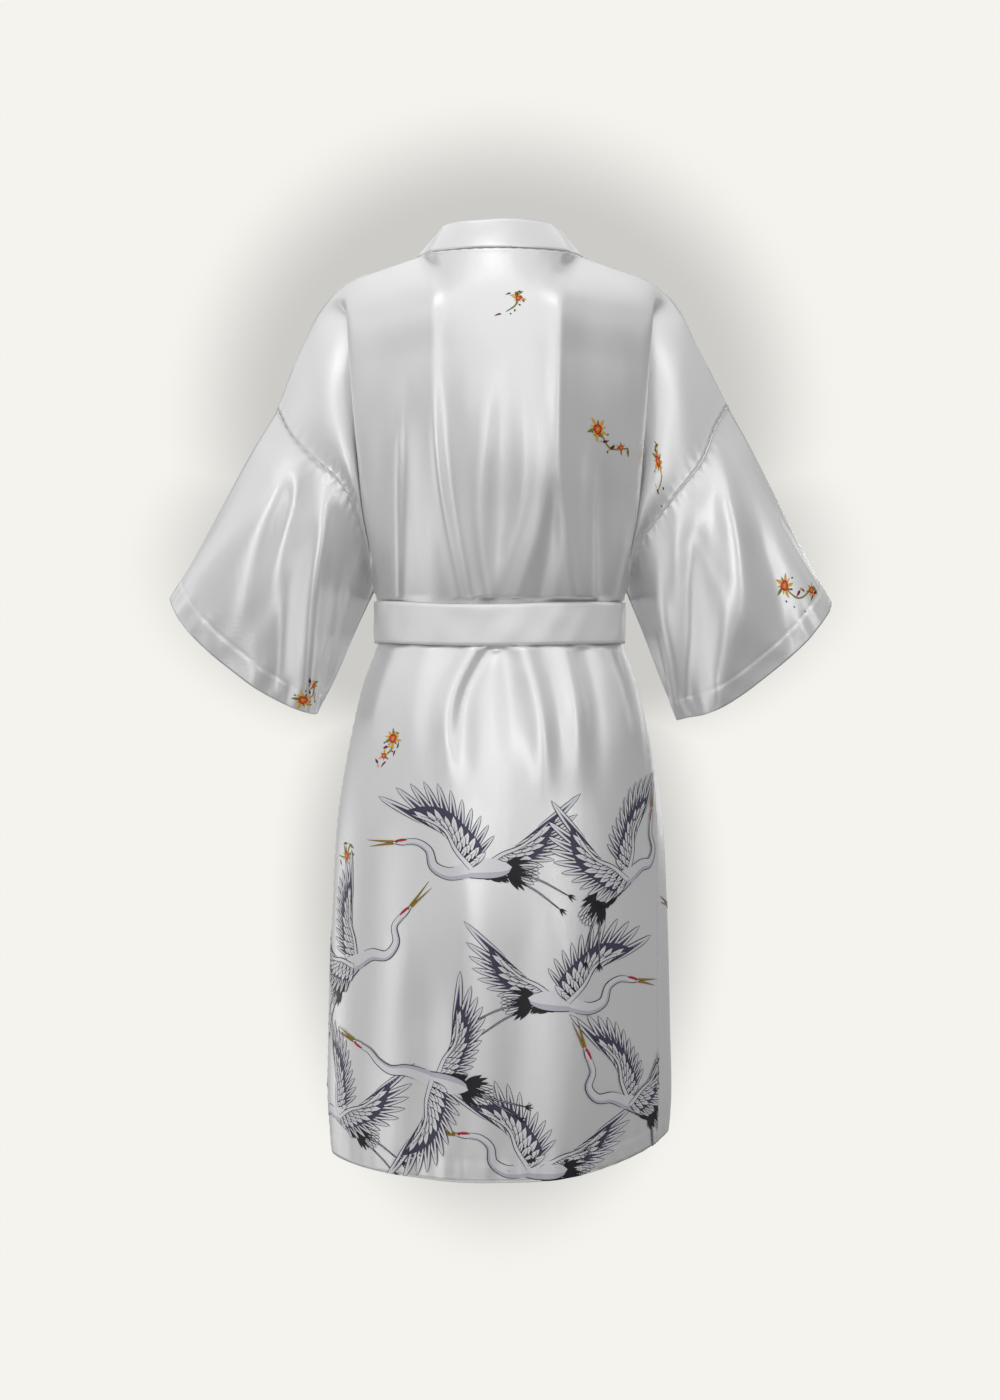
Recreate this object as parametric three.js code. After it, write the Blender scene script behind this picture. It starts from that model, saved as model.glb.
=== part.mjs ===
// A short satin robe of the kimono kind, filled out as if worn and with no wearer inside: back, two crossed
// fronts, two wide sleeves, a neckband that runs down both front edges, and a flat belt tied at the front.
// Millimetres, +Z up. The origin is at the height of the nape seam, on the mid-plane between back and front.
// +Y is the wearer's back and +X the wearer's left.
// Back and fronts are spline surfaces over rows of control points: "drop" is the way down from the shoulder
// ridge, and "s" runs from 0 at the centre line to 1 at the armhole or the side seam, negative on the wearer's
// right.
import * as THREE from "three";

// Driving sizes
const WALL = 1.4; // cloth
const BAND_WALL = 1.8; // neckband and belt, folded double
const SEAM_GAP = 0.3;
const BACK_LENGTH = 951; // nape seam to hem
const WAIST_DROP = 350; // end of the armhole
const BELT = { top: 362, width: 43, dip: 4, clear: 1.5 };
const BAND_WIDTH = 42;
const UNDER_FRONT = 6; // how far the covered front lies inside the upper one
const TAIL_LENGTH = { left: 430, right: 415 };
const KNOT = { width: 50, height: 46, depth: 26, side: 8 }; // side: how far it is tied off the centre line
const WAIST = { half: 128.5, back: 91.5, front: 93.5 }; // section under the belt
const CUFF = { depth: 90, rise: 20, corner: 0.72 };
const SECTION_POWER = 2.25; // superellipse of the skirt, a little squarer than an ellipse
const HEM_RISE = { start: 800, left: 17, right: 39, front: 14 };

// The shoulder ridge, from the neck point to the outer end of the shoulder where the sleeve is set on
const NECK = { halfWidth: 87, back: 75, front: -35, pointY: 10, pointZ: -1 };
const RIDGE = [
  { s: 0.275, x: 91.5, y: 9, z: -2.5 },
  { s: 0.42, x: 124, y: 2, z: -13 },
  { s: 0.56, x: 163, y: -3, z: -28 },
  { s: 0.62, x: 179, y: -3, z: -42 },
  { s: 0.8, x: 209, y: -2, z: -96 },
];

// Rows of the upper body. The crease line is where body and sleeve side fold against each other.
// centreZ and centreY: at the centre line. foldX, foldY, foldZ: on the crease. round: how late the row curves
// away from the one to the other.
const BACK_ROWS = [
  { drop: 55, centreZ: -42, centreY: 93, foldX: 160, foldY: 22, foldZ: -64, round: 1.9 },
  { drop: 125, centreZ: -112, centreY: 110, foldX: 155, foldY: 42, foldZ: -124, round: 2.2 },
  { drop: 200, centreZ: -191, centreY: 116, foldX: 149, foldY: 53, foldZ: -197, round: 2.5 },
  { drop: 278, centreZ: -275, centreY: 107, foldX: 141, foldY: 46, foldZ: -279, round: 2.6 },
];
const FRONT_ROWS = [
  { drop: 55, centreZ: -48, centreY: -66, foldX: 160, foldY: -24, foldZ: -64, round: 2.0 },
  { drop: 125, centreZ: -115, centreY: -101, foldX: 155, foldY: -38, foldZ: -124, round: 2.2 },
  { drop: 200, centreZ: -195, centreY: -118, foldX: 149, foldY: -46, foldZ: -197, round: 2.5 },
  { drop: 278, centreZ: -277, centreY: -109, foldX: 141, foldY: -42, foldZ: -279, round: 2.6 },
];
// The crease itself: how far the cloth tucks in behind its crest, and how full the sleeve side lies beyond it
const CREASE = { tuckX: 5, tuckIn: 13, fullness: 9 };

// Armhole seam of each side at the drops of the rows above, with the outer end of the shoulder first
const ARMHOLE = {
  left: [
    { x: 234, y: 0, z: -160 },
    { x: 220, y: 27, z: -187 },
    { x: 194, y: 48, z: -215 },
    { x: 160, y: 52, z: -247 },
    { x: 143, y: 31, z: -298 },
  ],
  right: [
    { x: 239, y: 0, z: -156 },
    { x: 224, y: 26, z: -182 },
    { x: 208, y: 47, z: -219 },
    { x: 178, y: 52, z: -257 },
    { x: 146, y: 33, z: -302 },
  ],
};

// Sleeve ends: the outer and the inner corner of each cuff
const CUFF_CORNERS = {
  left: { outerX: 344, outerZ: -357, innerX: 190, innerZ: -479 },
  right: { outerX: 347, outerZ: -362, innerX: 186, innerZ: -485 },
};

// Skirt sections: half width, depth to the back and to the front, and the side seams' angles from the centre
// back
const SKIRT_ROWS = [
  { drop: 350, half: 132, back: 94, front: 96, seamLeft: 90, seamRight: 90 },
  { drop: 360, ...WAIST, seamLeft: 90, seamRight: 90 },
  { drop: 407, ...WAIST, seamLeft: 91, seamRight: 89 },
  { drop: 440, half: 141, back: 103, front: 100, seamLeft: 92, seamRight: 85 },
  { drop: 500, half: 156, back: 119, front: 108, seamLeft: 92, seamRight: 78 },
  { drop: 575, half: 169, back: 129, front: 114, seamLeft: 92, seamRight: 71 },
  { drop: 675, half: 176, back: 134, front: 118, seamLeft: 93, seamRight: 66 },
  { drop: 800, half: 180, back: 134, front: 122, seamLeft: 93, seamRight: 63 },
  { drop: 900, half: 181, back: 132, front: 124, seamLeft: 93, seamRight: 62 },
  { drop: BACK_LENGTH, half: 178, back: 130, front: 124, seamLeft: 93, seamRight: 63 },
];

// Inner edge of a front, from the neck point to the hem: s is below 0 once it has crossed the centre line
const FRONT_EDGE = [
  { drop: 0, s: 0.26 },
  { drop: 55, s: 0.215 },
  { drop: 125, s: 0.12 },
  { drop: 200, s: -0.01 },
  { drop: 278, s: -0.15 },
  { drop: 350, s: -0.26 },
  { drop: 500, s: -0.3 },
  { drop: BACK_LENGTH, s: -0.34 },
];

// Largest folds, as soft ridges: the crest's x and z at its top, middle and foot, half its width, and its height
const BACK_FOLDS = [
  { xTop: 101, zTop: -112, xMid: 92, zMid: -200, xFoot: 106, zFoot: -358, width: 15, height: 4 },
  { xTop: 71, zTop: -70, xMid: 62, zMid: -220, xFoot: 58, zFoot: -358, width: 16, height: 6 },
  { xTop: 13, zTop: -150, xMid: 26, zMid: -258, xFoot: 29, zFoot: -358, width: 14, height: 5 },
  { xTop: -70, zTop: -60, xMid: -59, zMid: -243, xFoot: -76, zFoot: -358, width: 17, height: 7 },
  { xTop: -90, zTop: -182, xMid: -94, zMid: -270, xFoot: -97, zFoot: -358, width: 12, height: 4 },
  { xTop: 24, zTop: -409, xMid: 48, zMid: -452, xFoot: 52, zFoot: -540, width: 13, height: 6 },
  { xTop: -23, zTop: -409, xMid: -36, zMid: -452, xFoot: -46, zFoot: -560, width: 13, height: 6 },
  { xTop: -70, zTop: -409, xMid: -76, zMid: -455, xFoot: -84, zFoot: -530, width: 13, height: 5 },
];
const FRONT_FOLDS = [
  { xTop: 96, zTop: -120, xMid: 84, zMid: -230, xFoot: 70, zFoot: -358, width: 16, height: 5 },
  { xTop: -98, zTop: -115, xMid: -88, zMid: -235, xFoot: -74, zFoot: -358, width: 16, height: 6 },
  { xTop: 52, zTop: -409, xMid: 66, zMid: -460, xFoot: 78, zFoot: -560, width: 14, height: 6 },
  { xTop: -66, zTop: -409, xMid: -76, zMid: -470, xFoot: -84, zFoot: -570, width: 14, height: 5 },
];
const SLEEVE_FOLDS = [
  { around: 0.2, width: 0.05, height: 7 },
  { around: 0.36, width: 0.04, height: 5 },
  { around: 0.7, width: 0.06, height: 6 },
];

// Mesh lines: drops of the rows of back and fronts, and s from the centre to the side
const UPPER_DROPS = [0, 20, 55, 95, 140, 190, 240, 290, 330];
const LOWER_DROPS = [360, 383, 407, 430, 460, 510, 580, 680, 800, 900, BACK_LENGTH];
const ROW_DROPS = [...UPPER_DROPS, ...LOWER_DROPS];
const BODY_COLUMNS = [0.05, 0.1, 0.15, 0.2, 0.26, 0.32, 0.38, 0.44, 0.5];
const CREASE_COLUMNS = [0.54, 0.57, 0.6, 0.64, 0.72, 0.8, 0.9];
const HALF_COLUMNS = [...BODY_COLUMNS, ...CREASE_COLUMNS];

const rad = THREE.MathUtils.degToRad;
const lerp = THREE.MathUtils.lerp;
const clamp = THREE.MathUtils.clamp;
const smooth = THREE.MathUtils.smoothstep;
const V = (x, y, z) => new THREE.Vector3(x, y, z);

// Weight of each knot's value at u, on a cubic through all knots whose slope at a knot comes from its neighbours
function splineWeights(knots, u) {
  const last = knots.length - 1;
  let k = 0;
  while (k < last - 1 && u > knots[k + 1]) k++;
  const h = knots[k + 1] - knots[k];
  const t = (u - knots[k]) / h;
  const weights = new Array(knots.length).fill(0);
  const addSlope = (i, amount) => {
    const a = Math.max(i - 1, 0);
    const b = Math.min(i + 1, last);
    const before = i > 0 ? knots[i] - knots[a] : 0;
    const after = i < last ? knots[b] - knots[i] : 0;
    const total = before + after;
    if (before > 0) {
      const share = (amount * (after > 0 ? after : before)) / total / before;
      weights[i] += share;
      weights[a] -= share;
    }
    if (after > 0) {
      const share = (amount * (before > 0 ? before : after)) / total / after;
      weights[b] += share;
      weights[i] -= share;
    }
  };
  weights[k] += (1 + 2 * t) * (1 - t) * (1 - t);
  weights[k + 1] += t * t * (3 - 2 * t);
  addSlope(k, h * t * (1 - t) * (1 - t));
  addSlope(k + 1, h * t * t * (t - 1));
  return weights;
}

// A column's value in a table at u on the table's key column
function splineValue(rows, key, value, u) {
  const weights = splineWeights(rows.map((row) => row[key]), u);
  return weights.reduce((sum, w, i) => sum + w * rows[i][value], 0);
}

// A point of the skirt at an angle from the centre back, +X side positive
function skirtPoint(row, angle) {
  const c = Math.cos(rad(angle));
  const q = Math.sin(rad(angle));
  const power = 2 / SECTION_POWER;
  const x = row.half * Math.sign(q) * Math.abs(q) ** power;
  const y = (c < 0 ? -row.front : row.back) * Math.abs(c) ** power;
  const low = clamp((row.drop - HEM_RISE.start) / (BACK_LENGTH - HEM_RISE.start), 0, 1) ** 2;
  const side = (q < 0 ? HEM_RISE.right : HEM_RISE.left) * q * q;
  const ahead = c < 0 ? HEM_RISE.front * c * c : 0;
  return V(x, y, -row.drop + low * (side + ahead));
}

// Share of the way round, from the centre line to the side seam, at the waist and at the hem, for each column
const COLUMNS = [
  { s: 0, waist: 0, hem: 0 },
  { s: 0.14, waist: 0.2, hem: 0.14 },
  { s: 0.26, waist: 0.37, hem: 0.26 },
  { s: 0.275, waist: 0.39, hem: 0.275 },
  { s: 0.42, waist: 0.58, hem: 0.42 },
  { s: 0.56, waist: 0.75, hem: 0.56 },
  { s: 0.62, waist: 0.81, hem: 0.62 },
  { s: 0.8, waist: 0.9, hem: 0.8 },
  { s: 1, waist: 1, hem: 1 },
];

// Control point of an upper row
function upperPoint(rows, i, column, side) {
  const flip = side === "right" ? -1 : 1;
  const toBack = rows === BACK_ROWS ? 1 : -1;
  const edge = ARMHOLE[side][i];
  if (i === 0) {
    if (column.s > 0.9) return V(flip * edge.x, 0, edge.z);
    const ridge = RIDGE.find((r) => r.s === column.s);
    if (ridge) return V(flip * ridge.x, ridge.y, ridge.z);
    const turn = (column.s / 0.26) * (Math.PI / 2);
    const neckY = toBack > 0 ? NECK.back : NECK.front;
    return V(
      flip * NECK.halfWidth * Math.sin(turn),
      lerp(neckY, NECK.pointY, 1 - Math.cos(turn)),
      NECK.pointZ * Math.sin(turn),
    );
  }
  const row = rows[i - 1];
  const seam = V(edge.x, toBack * edge.y, edge.z);
  const tuck = V(row.foldX - CREASE.tuckX, row.foldY - toBack * CREASE.tuckIn, row.foldZ);
  if (column.s <= 0.56) {
    const along = column.s / 0.56;
    return V(
      flip * row.foldX * along,
      lerp(row.centreY, row.foldY, along ** row.round),
      lerp(row.centreZ, row.foldZ, along * along),
    );
  }
  const point = column.s < 0.7 ? tuck : column.s < 0.9 ? tuck.clone().lerp(seam, 0.5) : seam;
  if (column.s > 0.7 && column.s < 0.9) point.y += toBack * CREASE.fullness;
  return V(flip * point.x, point.y, point.z);
}

// The whole net of one face: rows of control points over columns from s = -1 to 1
function controlNet(rows) {
  const toBack = rows === BACK_ROWS;
  const rightColumns = COLUMNS.slice(1).reverse().map((c) => ({ ...c, side: "right" }));
  const columns = [...rightColumns, ...COLUMNS.map((c) => ({ ...c, side: "left" }))];
  const net = [];
  for (let i = 0; i <= rows.length; i++) {
    net.push(columns.map((c) => upperPoint(rows, i, c, c.side)));
  }
  for (const row of SKIRT_ROWS) {
    const even = smooth(row.drop, WAIST_DROP, 620);
    net.push(
      columns.map((c) => {
        const seam = c.side === "right" ? -row.seamRight : row.seamLeft;
        const share = lerp(c.waist, c.hem, even);
        const centre = toBack ? 0 : 180 * Math.sign(seam);
        return skirtPoint(row, lerp(centre, seam, share));
      }),
    );
  }
  return {
    points: net,
    s: columns.map((c) => (c.side === "right" ? -c.s : c.s)),
    drops: [0, ...rows.map((r) => r.drop), ...SKIRT_ROWS.map((r) => r.drop)],
    folds: toBack ? BACK_FOLDS : FRONT_FOLDS,
    outward: toBack ? 1 : -1,
  };
}

// Height of the folds at a place of a face
function foldHeight(folds, x, z) {
  let height = 0;
  for (const f of folds) {
    if (z >= f.zTop || z <= f.zFoot) continue;
    const rows = [
      { z: -f.zTop, x: f.xTop },
      { z: -f.zMid, x: f.xMid },
      { z: -f.zFoot, x: f.xFoot },
    ];
    const away = (x - splineValue(rows, "z", "x", -z)) / f.width;
    const share = (f.zTop - z) / (f.zTop - f.zFoot);
    height += f.height * Math.exp(-away * away) * Math.sin(Math.PI * share ** 0.8) ** 0.7;
  }
  return height;
}

// A point of a face, folds included
function facePoint(face, s, drop) {
  const across = splineWeights(face.s, s);
  const down = splineWeights(face.drops, drop);
  const p = V(0, 0, 0);
  down.forEach((wd, i) => {
    if (wd) across.forEach((wa, j) => wa && p.addScaledVector(face.points[i][j], wd * wa));
  });
  p.y += face.outward * foldHeight(face.folds, p.x, p.z);
  return p;
}

// Outward normal of a face, from close neighbours
function faceNormal(face, s, drop) {
  const ds = facePoint(face, s + 0.004, drop).sub(facePoint(face, s - 0.004, drop));
  const dd = facePoint(face, s, drop + 1).sub(facePoint(face, s, drop - 1));
  return ds.cross(dd).normalize().multiplyScalar(face.outward);
}

// A closed solid from a grid of outer points: the inner skin lies one wall inside, along the grid's own normals.
// grid[j][i]: i across, j down. facing is 1 where across x down points out of the garment, else -1. With ring
// the last column joins the first. fixNormal can square an edge's wall.
function gridSolid(grid, wall, { ring = false, facing = 1, fixNormal = null } = {}) {
  const rows = grid.length;
  const columns = grid[0].length;
  const at = (j, i) => grid[j][ring ? (i + columns) % columns : clamp(i, 0, columns - 1)];
  const inner = grid.map((row, j) =>
    row.map((p, i) => {
      const across = at(j, i + 1).clone().sub(at(j, i - 1));
      const down = grid[Math.min(j + 1, rows - 1)][i].clone().sub(grid[Math.max(j - 1, 0)][i]);
      const n = across.cross(down).normalize().multiplyScalar(facing);
      if (fixNormal) fixNormal(n, j, i, p);
      return p.clone().addScaledVector(n, -wall);
    }),
  );
  const positions = [];
  const tri = (a, b, c) => positions.push(...a.toArray(), ...b.toArray(), ...c.toArray());
  const quad = (a, b, c, d) => {
    if (facing > 0) {
      tri(a, b, c);
      tri(a, c, d);
    } else {
      tri(a, c, b);
      tri(a, d, c);
    }
  };
  const lastColumn = ring ? columns : columns - 1;
  for (let j = 0; j < rows - 1; j++) {
    for (let i = 0; i < lastColumn; i++) {
      const k = (i + 1) % columns;
      quad(grid[j][i], grid[j][k], grid[j + 1][k], grid[j + 1][i]);
      quad(inner[j][k], inner[j][i], inner[j + 1][i], inner[j + 1][k]);
    }
  }
  for (let i = 0; i < lastColumn; i++) {
    const k = (i + 1) % columns;
    quad(inner[0][i], inner[0][k], grid[0][k], grid[0][i]);
    quad(grid[rows - 1][i], grid[rows - 1][k], inner[rows - 1][k], inner[rows - 1][i]);
  }
  if (!ring) {
    for (let j = 0; j < rows - 1; j++) {
      quad(inner[j][0], grid[j][0], grid[j + 1][0], inner[j + 1][0]);
      quad(grid[j][columns - 1], inner[j][columns - 1], inner[j + 1][columns - 1], grid[j + 1][columns - 1]);
    }
  }
  return new THREE.BufferGeometry().setAttribute("position", new THREE.Float32BufferAttribute(positions, 3));
}

const back = controlNet(BACK_ROWS);
const front = controlNet(FRONT_ROWS);
const robe = new THREE.Group();
const satin = new THREE.MeshStandardMaterial({ color: 0xe6e5e4, roughness: 0.32, metalness: 0.1 });

function addPiece(name, geometry) {
  geometry.computeVertexNormals();
  const mesh = new THREE.Mesh(geometry, satin.clone());
  mesh.name = name;
  robe.add(mesh);
}

// Squares the wall to the shoulder ridge, and at the side seam to the skirt's section, so that seams meet flush
function flushAtSeams(n, j, i, p) {
  const drop = ROW_DROPS[j];
  if (drop === 0 && Math.abs(p.x) > NECK.halfWidth - 1) n.setY(0).normalize();
  if (drop < WAIST_DROP || !isSeamColumn(p, drop)) return;
  const half = splineValue(SKIRT_ROWS, "drop", "half", drop);
  const depth = splineValue(SKIRT_ROWS, "drop", p.y < 0 ? "front" : "back", drop);
  const slope = (v, size) => (Math.sign(v) * Math.abs(v / size) ** (SECTION_POWER - 1)) / size;
  n.set(slope(p.x, half), slope(p.y, depth), 0).normalize();
}

// True at the side seam
function isSeamColumn(p, drop) {
  const way = Math.sign(p.x);
  return p.distanceTo(facePoint(back, way, drop)) < 2 * SEAM_GAP;
}

// Moves s in from an edge by half a seam gap
function clearOfEdge(face, s, drop, towards) {
  const scale = facePoint(face, s, drop).distanceTo(facePoint(face, s + 0.02 * towards, drop)) / 0.02;
  return s + (towards * SEAM_GAP) / 2 / scale;
}

// Opens the shoulder seam: the top row moves away from the ridge
function openShoulder(grid, way) {
  for (const p of grid[0]) p.y += (way * SEAM_GAP) / 2;
  return grid;
}

function makeBack() {
  const grid = ROW_DROPS.map((drop) => {
    const left = clearOfEdge(back, 1, drop, -1);
    const right = clearOfEdge(back, -1, drop, 1);
    const across = [right, ...HALF_COLUMNS.map((s) => -s).reverse(), 0, ...HALF_COLUMNS, left];
    return across.map((s) => facePoint(back, s, drop));
  });
  return gridSolid(openShoulder(grid, 1), WALL, { facing: 1, fixNormal: flushAtSeams });
}

// A front, from its inner edge to the side. The wearer's right one lies inside the other wherever they cross.
function frontPoint(side, s, drop) {
  const way = side === "left" ? 1 : -1;
  const p = facePoint(front, way * s, drop);
  if (side === "right") {
    const under = smooth(0.88 - s, 0, 0.26) * smooth(drop, 60, 170) * UNDER_FRONT;
    p.addScaledVector(faceNormal(front, way * s, drop), -under);
  }
  return p;
}

function frontEdge(drop) {
  return splineValue(FRONT_EDGE, "drop", "s", drop);
}

function makeFront(side) {
  const steps = 18;
  const way = side === "left" ? 1 : -1;
  const grid = ROW_DROPS.map((drop) => {
    const end = way * clearOfEdge(front, way, drop, -way);
    const start = frontEdge(drop);
    return Array.from({ length: steps + 1 }, (_, i) => frontPoint(side, lerp(start, end, i / steps), drop));
  });
  return gridSolid(openShoulder(grid, -1), WALL, { facing: -way, fixNormal: flushAtSeams });
}

// A sleeve: rings from the armhole seam to the cuff. Round a ring, 0 is the top, 0.25 the back and 0.5 the
// underside.
function makeSleeve(side) {
  const way = side === "left" ? 1 : -1;
  const corners = CUFF_CORNERS[side];
  const outer = V(way * corners.outerX, 0, corners.outerZ);
  const inner = V(way * corners.innerX, 0, corners.innerZ);
  const middle = outer.clone().lerp(inner, 0.5);
  const along = outer.clone().sub(middle);
  const shoulder = facePoint(back, way, 0);
  const axis = outer.clone().sub(shoulder).normalize();
  const around = 24;
  const rings = [0, 0.08, 0.3, 0.55, 0.8, 1];
  const armholeDrops = [];
  for (let k = 0; k <= around / 2; k++) armholeDrops.push(WAIST_DROP * (k / (around / 2)) ** 0.85);
  const grid = rings.map((w) =>
    Array.from({ length: around }, (_, k) => {
      const behind = k <= around / 2;
      const drop = armholeDrops[behind ? k : around - k];
      const start = facePoint(behind ? back : front, way, drop);
      const turn = (2 * Math.PI * k) / around;
      const c = Math.cos(turn);
      const q = Math.sin(turn);
      const end = middle
        .clone()
        .addScaledVector(along, Math.sign(c) * Math.abs(c) ** CUFF.corner)
        .addScaledVector(V(0, 1, 0), (CUFF.depth / 2) * Math.sign(q) * Math.abs(q) ** CUFF.corner)
        .addScaledVector(axis, CUFF.rise * (1 - Math.abs(c) ** 2));
      const p = start.clone().lerp(end, w);
      const bend = Math.sin(Math.PI * w);
      p.y += Math.sign(q) * 8 * bend * Math.abs(q);
      for (const f of SLEEVE_FOLDS) {
        const away = (k / around - f.around) / f.width;
        p.y += Math.sign(q) * f.height * Math.exp(-away * away) * smooth(w, 0, 0.4);
      }
      const away = start.clone().sub(facePoint(behind ? back : front, way * 0.97, drop));
      p.addScaledVector(away.normalize(), (1 - w) * 4 * SEAM_GAP);
      return p.addScaledVector(axis, (1 - w) * SEAM_GAP);
    }),
  );
  return gridSolid(grid, WALL, { ring: true, facing: -way });
}

// The neckband, across from the seam (0) to its free edge (1). At the back neck it stands up and leans in, and
// down the fronts it lies in their surface.
const STAND_BACK = V(0, -25, 33);
const STAND_SIDE = V(-19, -24, 29);

function bandPoint(side, place, w) {
  const way = side === "left" ? 1 : -1;
  const mirror = (v) => V(way * v.x, v.y, v.z);
  const reach = lerp(2 * SEAM_GAP, BAND_WIDTH, w);
  if (place < 0) {
    const s = FRONT_EDGE[0].s + place; // on the back's neckline
    const turn = (s / FRONT_EDGE[0].s) * (Math.PI / 2);
    const stand = STAND_BACK.clone().lerp(STAND_SIDE, Math.sin(turn) ** 2);
    return facePoint(back, way * s, 0).add(mirror(stand.setLength(reach)));
  }
  const drop = place;
  const edge = frontEdge(drop);
  const base = frontPoint(side, edge, drop);
  const step = frontPoint(side, edge - 0.05, drop);
  const perShare = base.distanceTo(step) / 0.05;
  const flat = frontPoint(side, edge - reach / perShare, drop);
  const standing = base.clone().add(mirror(STAND_SIDE.clone().setLength(reach)));
  return standing.lerp(flat, smooth(drop, 0, 95));
}

function makeNeckband() {
  const neckEnd = FRONT_EDGE[0].s;
  const places = [-neckEnd, ...HALF_COLUMNS.filter((s) => s < neckEnd).map((s) => s - neckEnd), ...ROW_DROPS];
  const stations = [
    ...places.slice(1).reverse().map((p) => ["right", p]),
    ...places.map((p) => ["left", p]),
  ];
  const across = [0, 0.35, 0.7, 1];
  const grid = across.map((w) => stations.map(([side, p]) => bandPoint(side, p, w)));
  const levelAtNeck = (n, j, i, p) => {
    if (j === 0 && p.z > -2) n.setZ(0).normalize();
  };
  return gridSolid(grid, BAND_WALL, { facing: -1, fixNormal: levelAtNeck });
}

// A ring of the belt: the skirt's section at its height, a little way out
function beltPoint(angle, depth, w) {
  const section = { half: WAIST.half + depth, back: WAIST.back + depth, front: WAIST.front + depth };
  const p = skirtPoint({ drop: BELT.top + BELT.width * w, ...section }, angle);
  if (p.y > 0) p.z -= BELT.dip * Math.cos(rad(angle)) ** 2;
  return p;
}

function makeBelt() {
  const steps = 48;
  const grid = [0, 0.5, 1].map((w) =>
    Array.from({ length: steps }, (_, k) => beltPoint((360 * k) / steps, BELT.clear + BAND_WALL, w)),
  );
  return gridSolid(grid, BAND_WALL, { ring: true, facing: 1 });
}

// The tie at the front: a rounded knot, and two flat tails that hang down over the skirt
const BELT_FACE = WAIST.front + BELT.clear + BAND_WALL;
const KNOT_CENTRE = V(KNOT.side, -(BELT_FACE + KNOT.depth / 2), -(BELT.top + BELT.width / 2));
const TAIL = { drop: 1.8, spread: 12, splay: 30, halfTop: 13, offSkirt: 15, curl: 3, apart: 1.5 };

function makeKnot() {
  const geometry = new THREE.SphereGeometry(1, 16, 10);
  const position = geometry.attributes.position;
  const square = (v, power) => Math.sign(v) * Math.abs(v) ** power;
  for (let i = 0; i < position.count; i++) {
    const x = square(position.getX(i), 0.7);
    const y = square(position.getY(i), 0.7);
    const z = square(position.getZ(i), 0.7);
    position.setXYZ(
      i,
      KNOT_CENTRE.x + (x * KNOT.width) / 2,
      KNOT_CENTRE.y + (y * KNOT.depth) / 2,
      KNOT_CENTRE.z + (z * KNOT.height) / 2,
    );
  }
  return geometry;
}

function makeTail(side) {
  const way = side === "left" ? 1 : -1;
  const length = TAIL_LENGTH[side];
  const top = -(BELT.top + BELT.width + TAIL.drop);
  const steps = 14;
  const grid = Array.from({ length: steps + 1 }, (_, j) => {
    const share = j / steps;
    const z = top - length * share;
    const x = KNOT_CENTRE.x + way * (TAIL.spread + TAIL.splay * share ** 0.8);
    const depth = splineValue(SKIRT_ROWS, "drop", "front", -z);
    const hang = lerp(Math.abs(KNOT_CENTRE.y) - TAIL.curl, depth + TAIL.offSkirt, smooth(share, 0, 0.25));
    const half = lerp(TAIL.halfTop, BELT.width / 2, smooth(share, 0, 0.16));
    const y = TAIL.apart * way - hang;
    return [-1, -0.35, 0.35, 1].map((w) => V(x + w * half, y - TAIL.curl * (1 - w * w), z));
  });
  return gridSolid(grid, BAND_WALL, { facing: -1 });
}

addPiece("back", makeBack());
addPiece("front_left", makeFront("left"));
addPiece("front_right", makeFront("right"));
addPiece("sleeve_left", makeSleeve("left"));
addPiece("sleeve_right", makeSleeve("right"));
addPiece("neckband", makeNeckband());
addPiece("belt", makeBelt());
addPiece("belt_knot", makeKnot());
addPiece("belt_tail_left", makeTail("left"));
addPiece("belt_tail_right", makeTail("right"));

export default robe;
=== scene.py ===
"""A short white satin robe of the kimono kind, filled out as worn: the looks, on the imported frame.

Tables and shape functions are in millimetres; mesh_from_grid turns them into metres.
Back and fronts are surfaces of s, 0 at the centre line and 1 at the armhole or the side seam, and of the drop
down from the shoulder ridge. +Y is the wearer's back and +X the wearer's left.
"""
import math
from collections import namedtuple

import bpy
import numpy as np
from bpy.props import FloatProperty, FloatVectorProperty, PointerProperty
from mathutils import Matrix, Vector


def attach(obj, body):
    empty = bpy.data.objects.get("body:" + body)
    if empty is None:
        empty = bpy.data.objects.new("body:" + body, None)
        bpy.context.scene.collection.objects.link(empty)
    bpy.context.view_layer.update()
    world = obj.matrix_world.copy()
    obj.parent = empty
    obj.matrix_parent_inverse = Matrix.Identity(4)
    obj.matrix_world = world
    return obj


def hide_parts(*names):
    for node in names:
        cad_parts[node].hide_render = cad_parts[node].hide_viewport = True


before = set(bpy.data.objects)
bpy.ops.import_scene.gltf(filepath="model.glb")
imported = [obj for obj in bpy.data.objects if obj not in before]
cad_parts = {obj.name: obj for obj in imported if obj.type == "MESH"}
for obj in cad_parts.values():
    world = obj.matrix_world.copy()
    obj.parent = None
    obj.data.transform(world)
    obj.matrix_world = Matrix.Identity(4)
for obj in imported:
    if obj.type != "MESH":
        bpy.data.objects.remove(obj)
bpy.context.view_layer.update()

bl_info = {
    "name": "Satin kimono robe",
    "version": (1, 0, 0),
    "blender": (4, 5, 0),
    "location": "3D View > Sidebar > Robe",
    "description": "Builds the cloth, the belt, the print and the stage of a short satin robe on its frame",
    "category": "Add Mesh",
}

MM = 0.001
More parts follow.
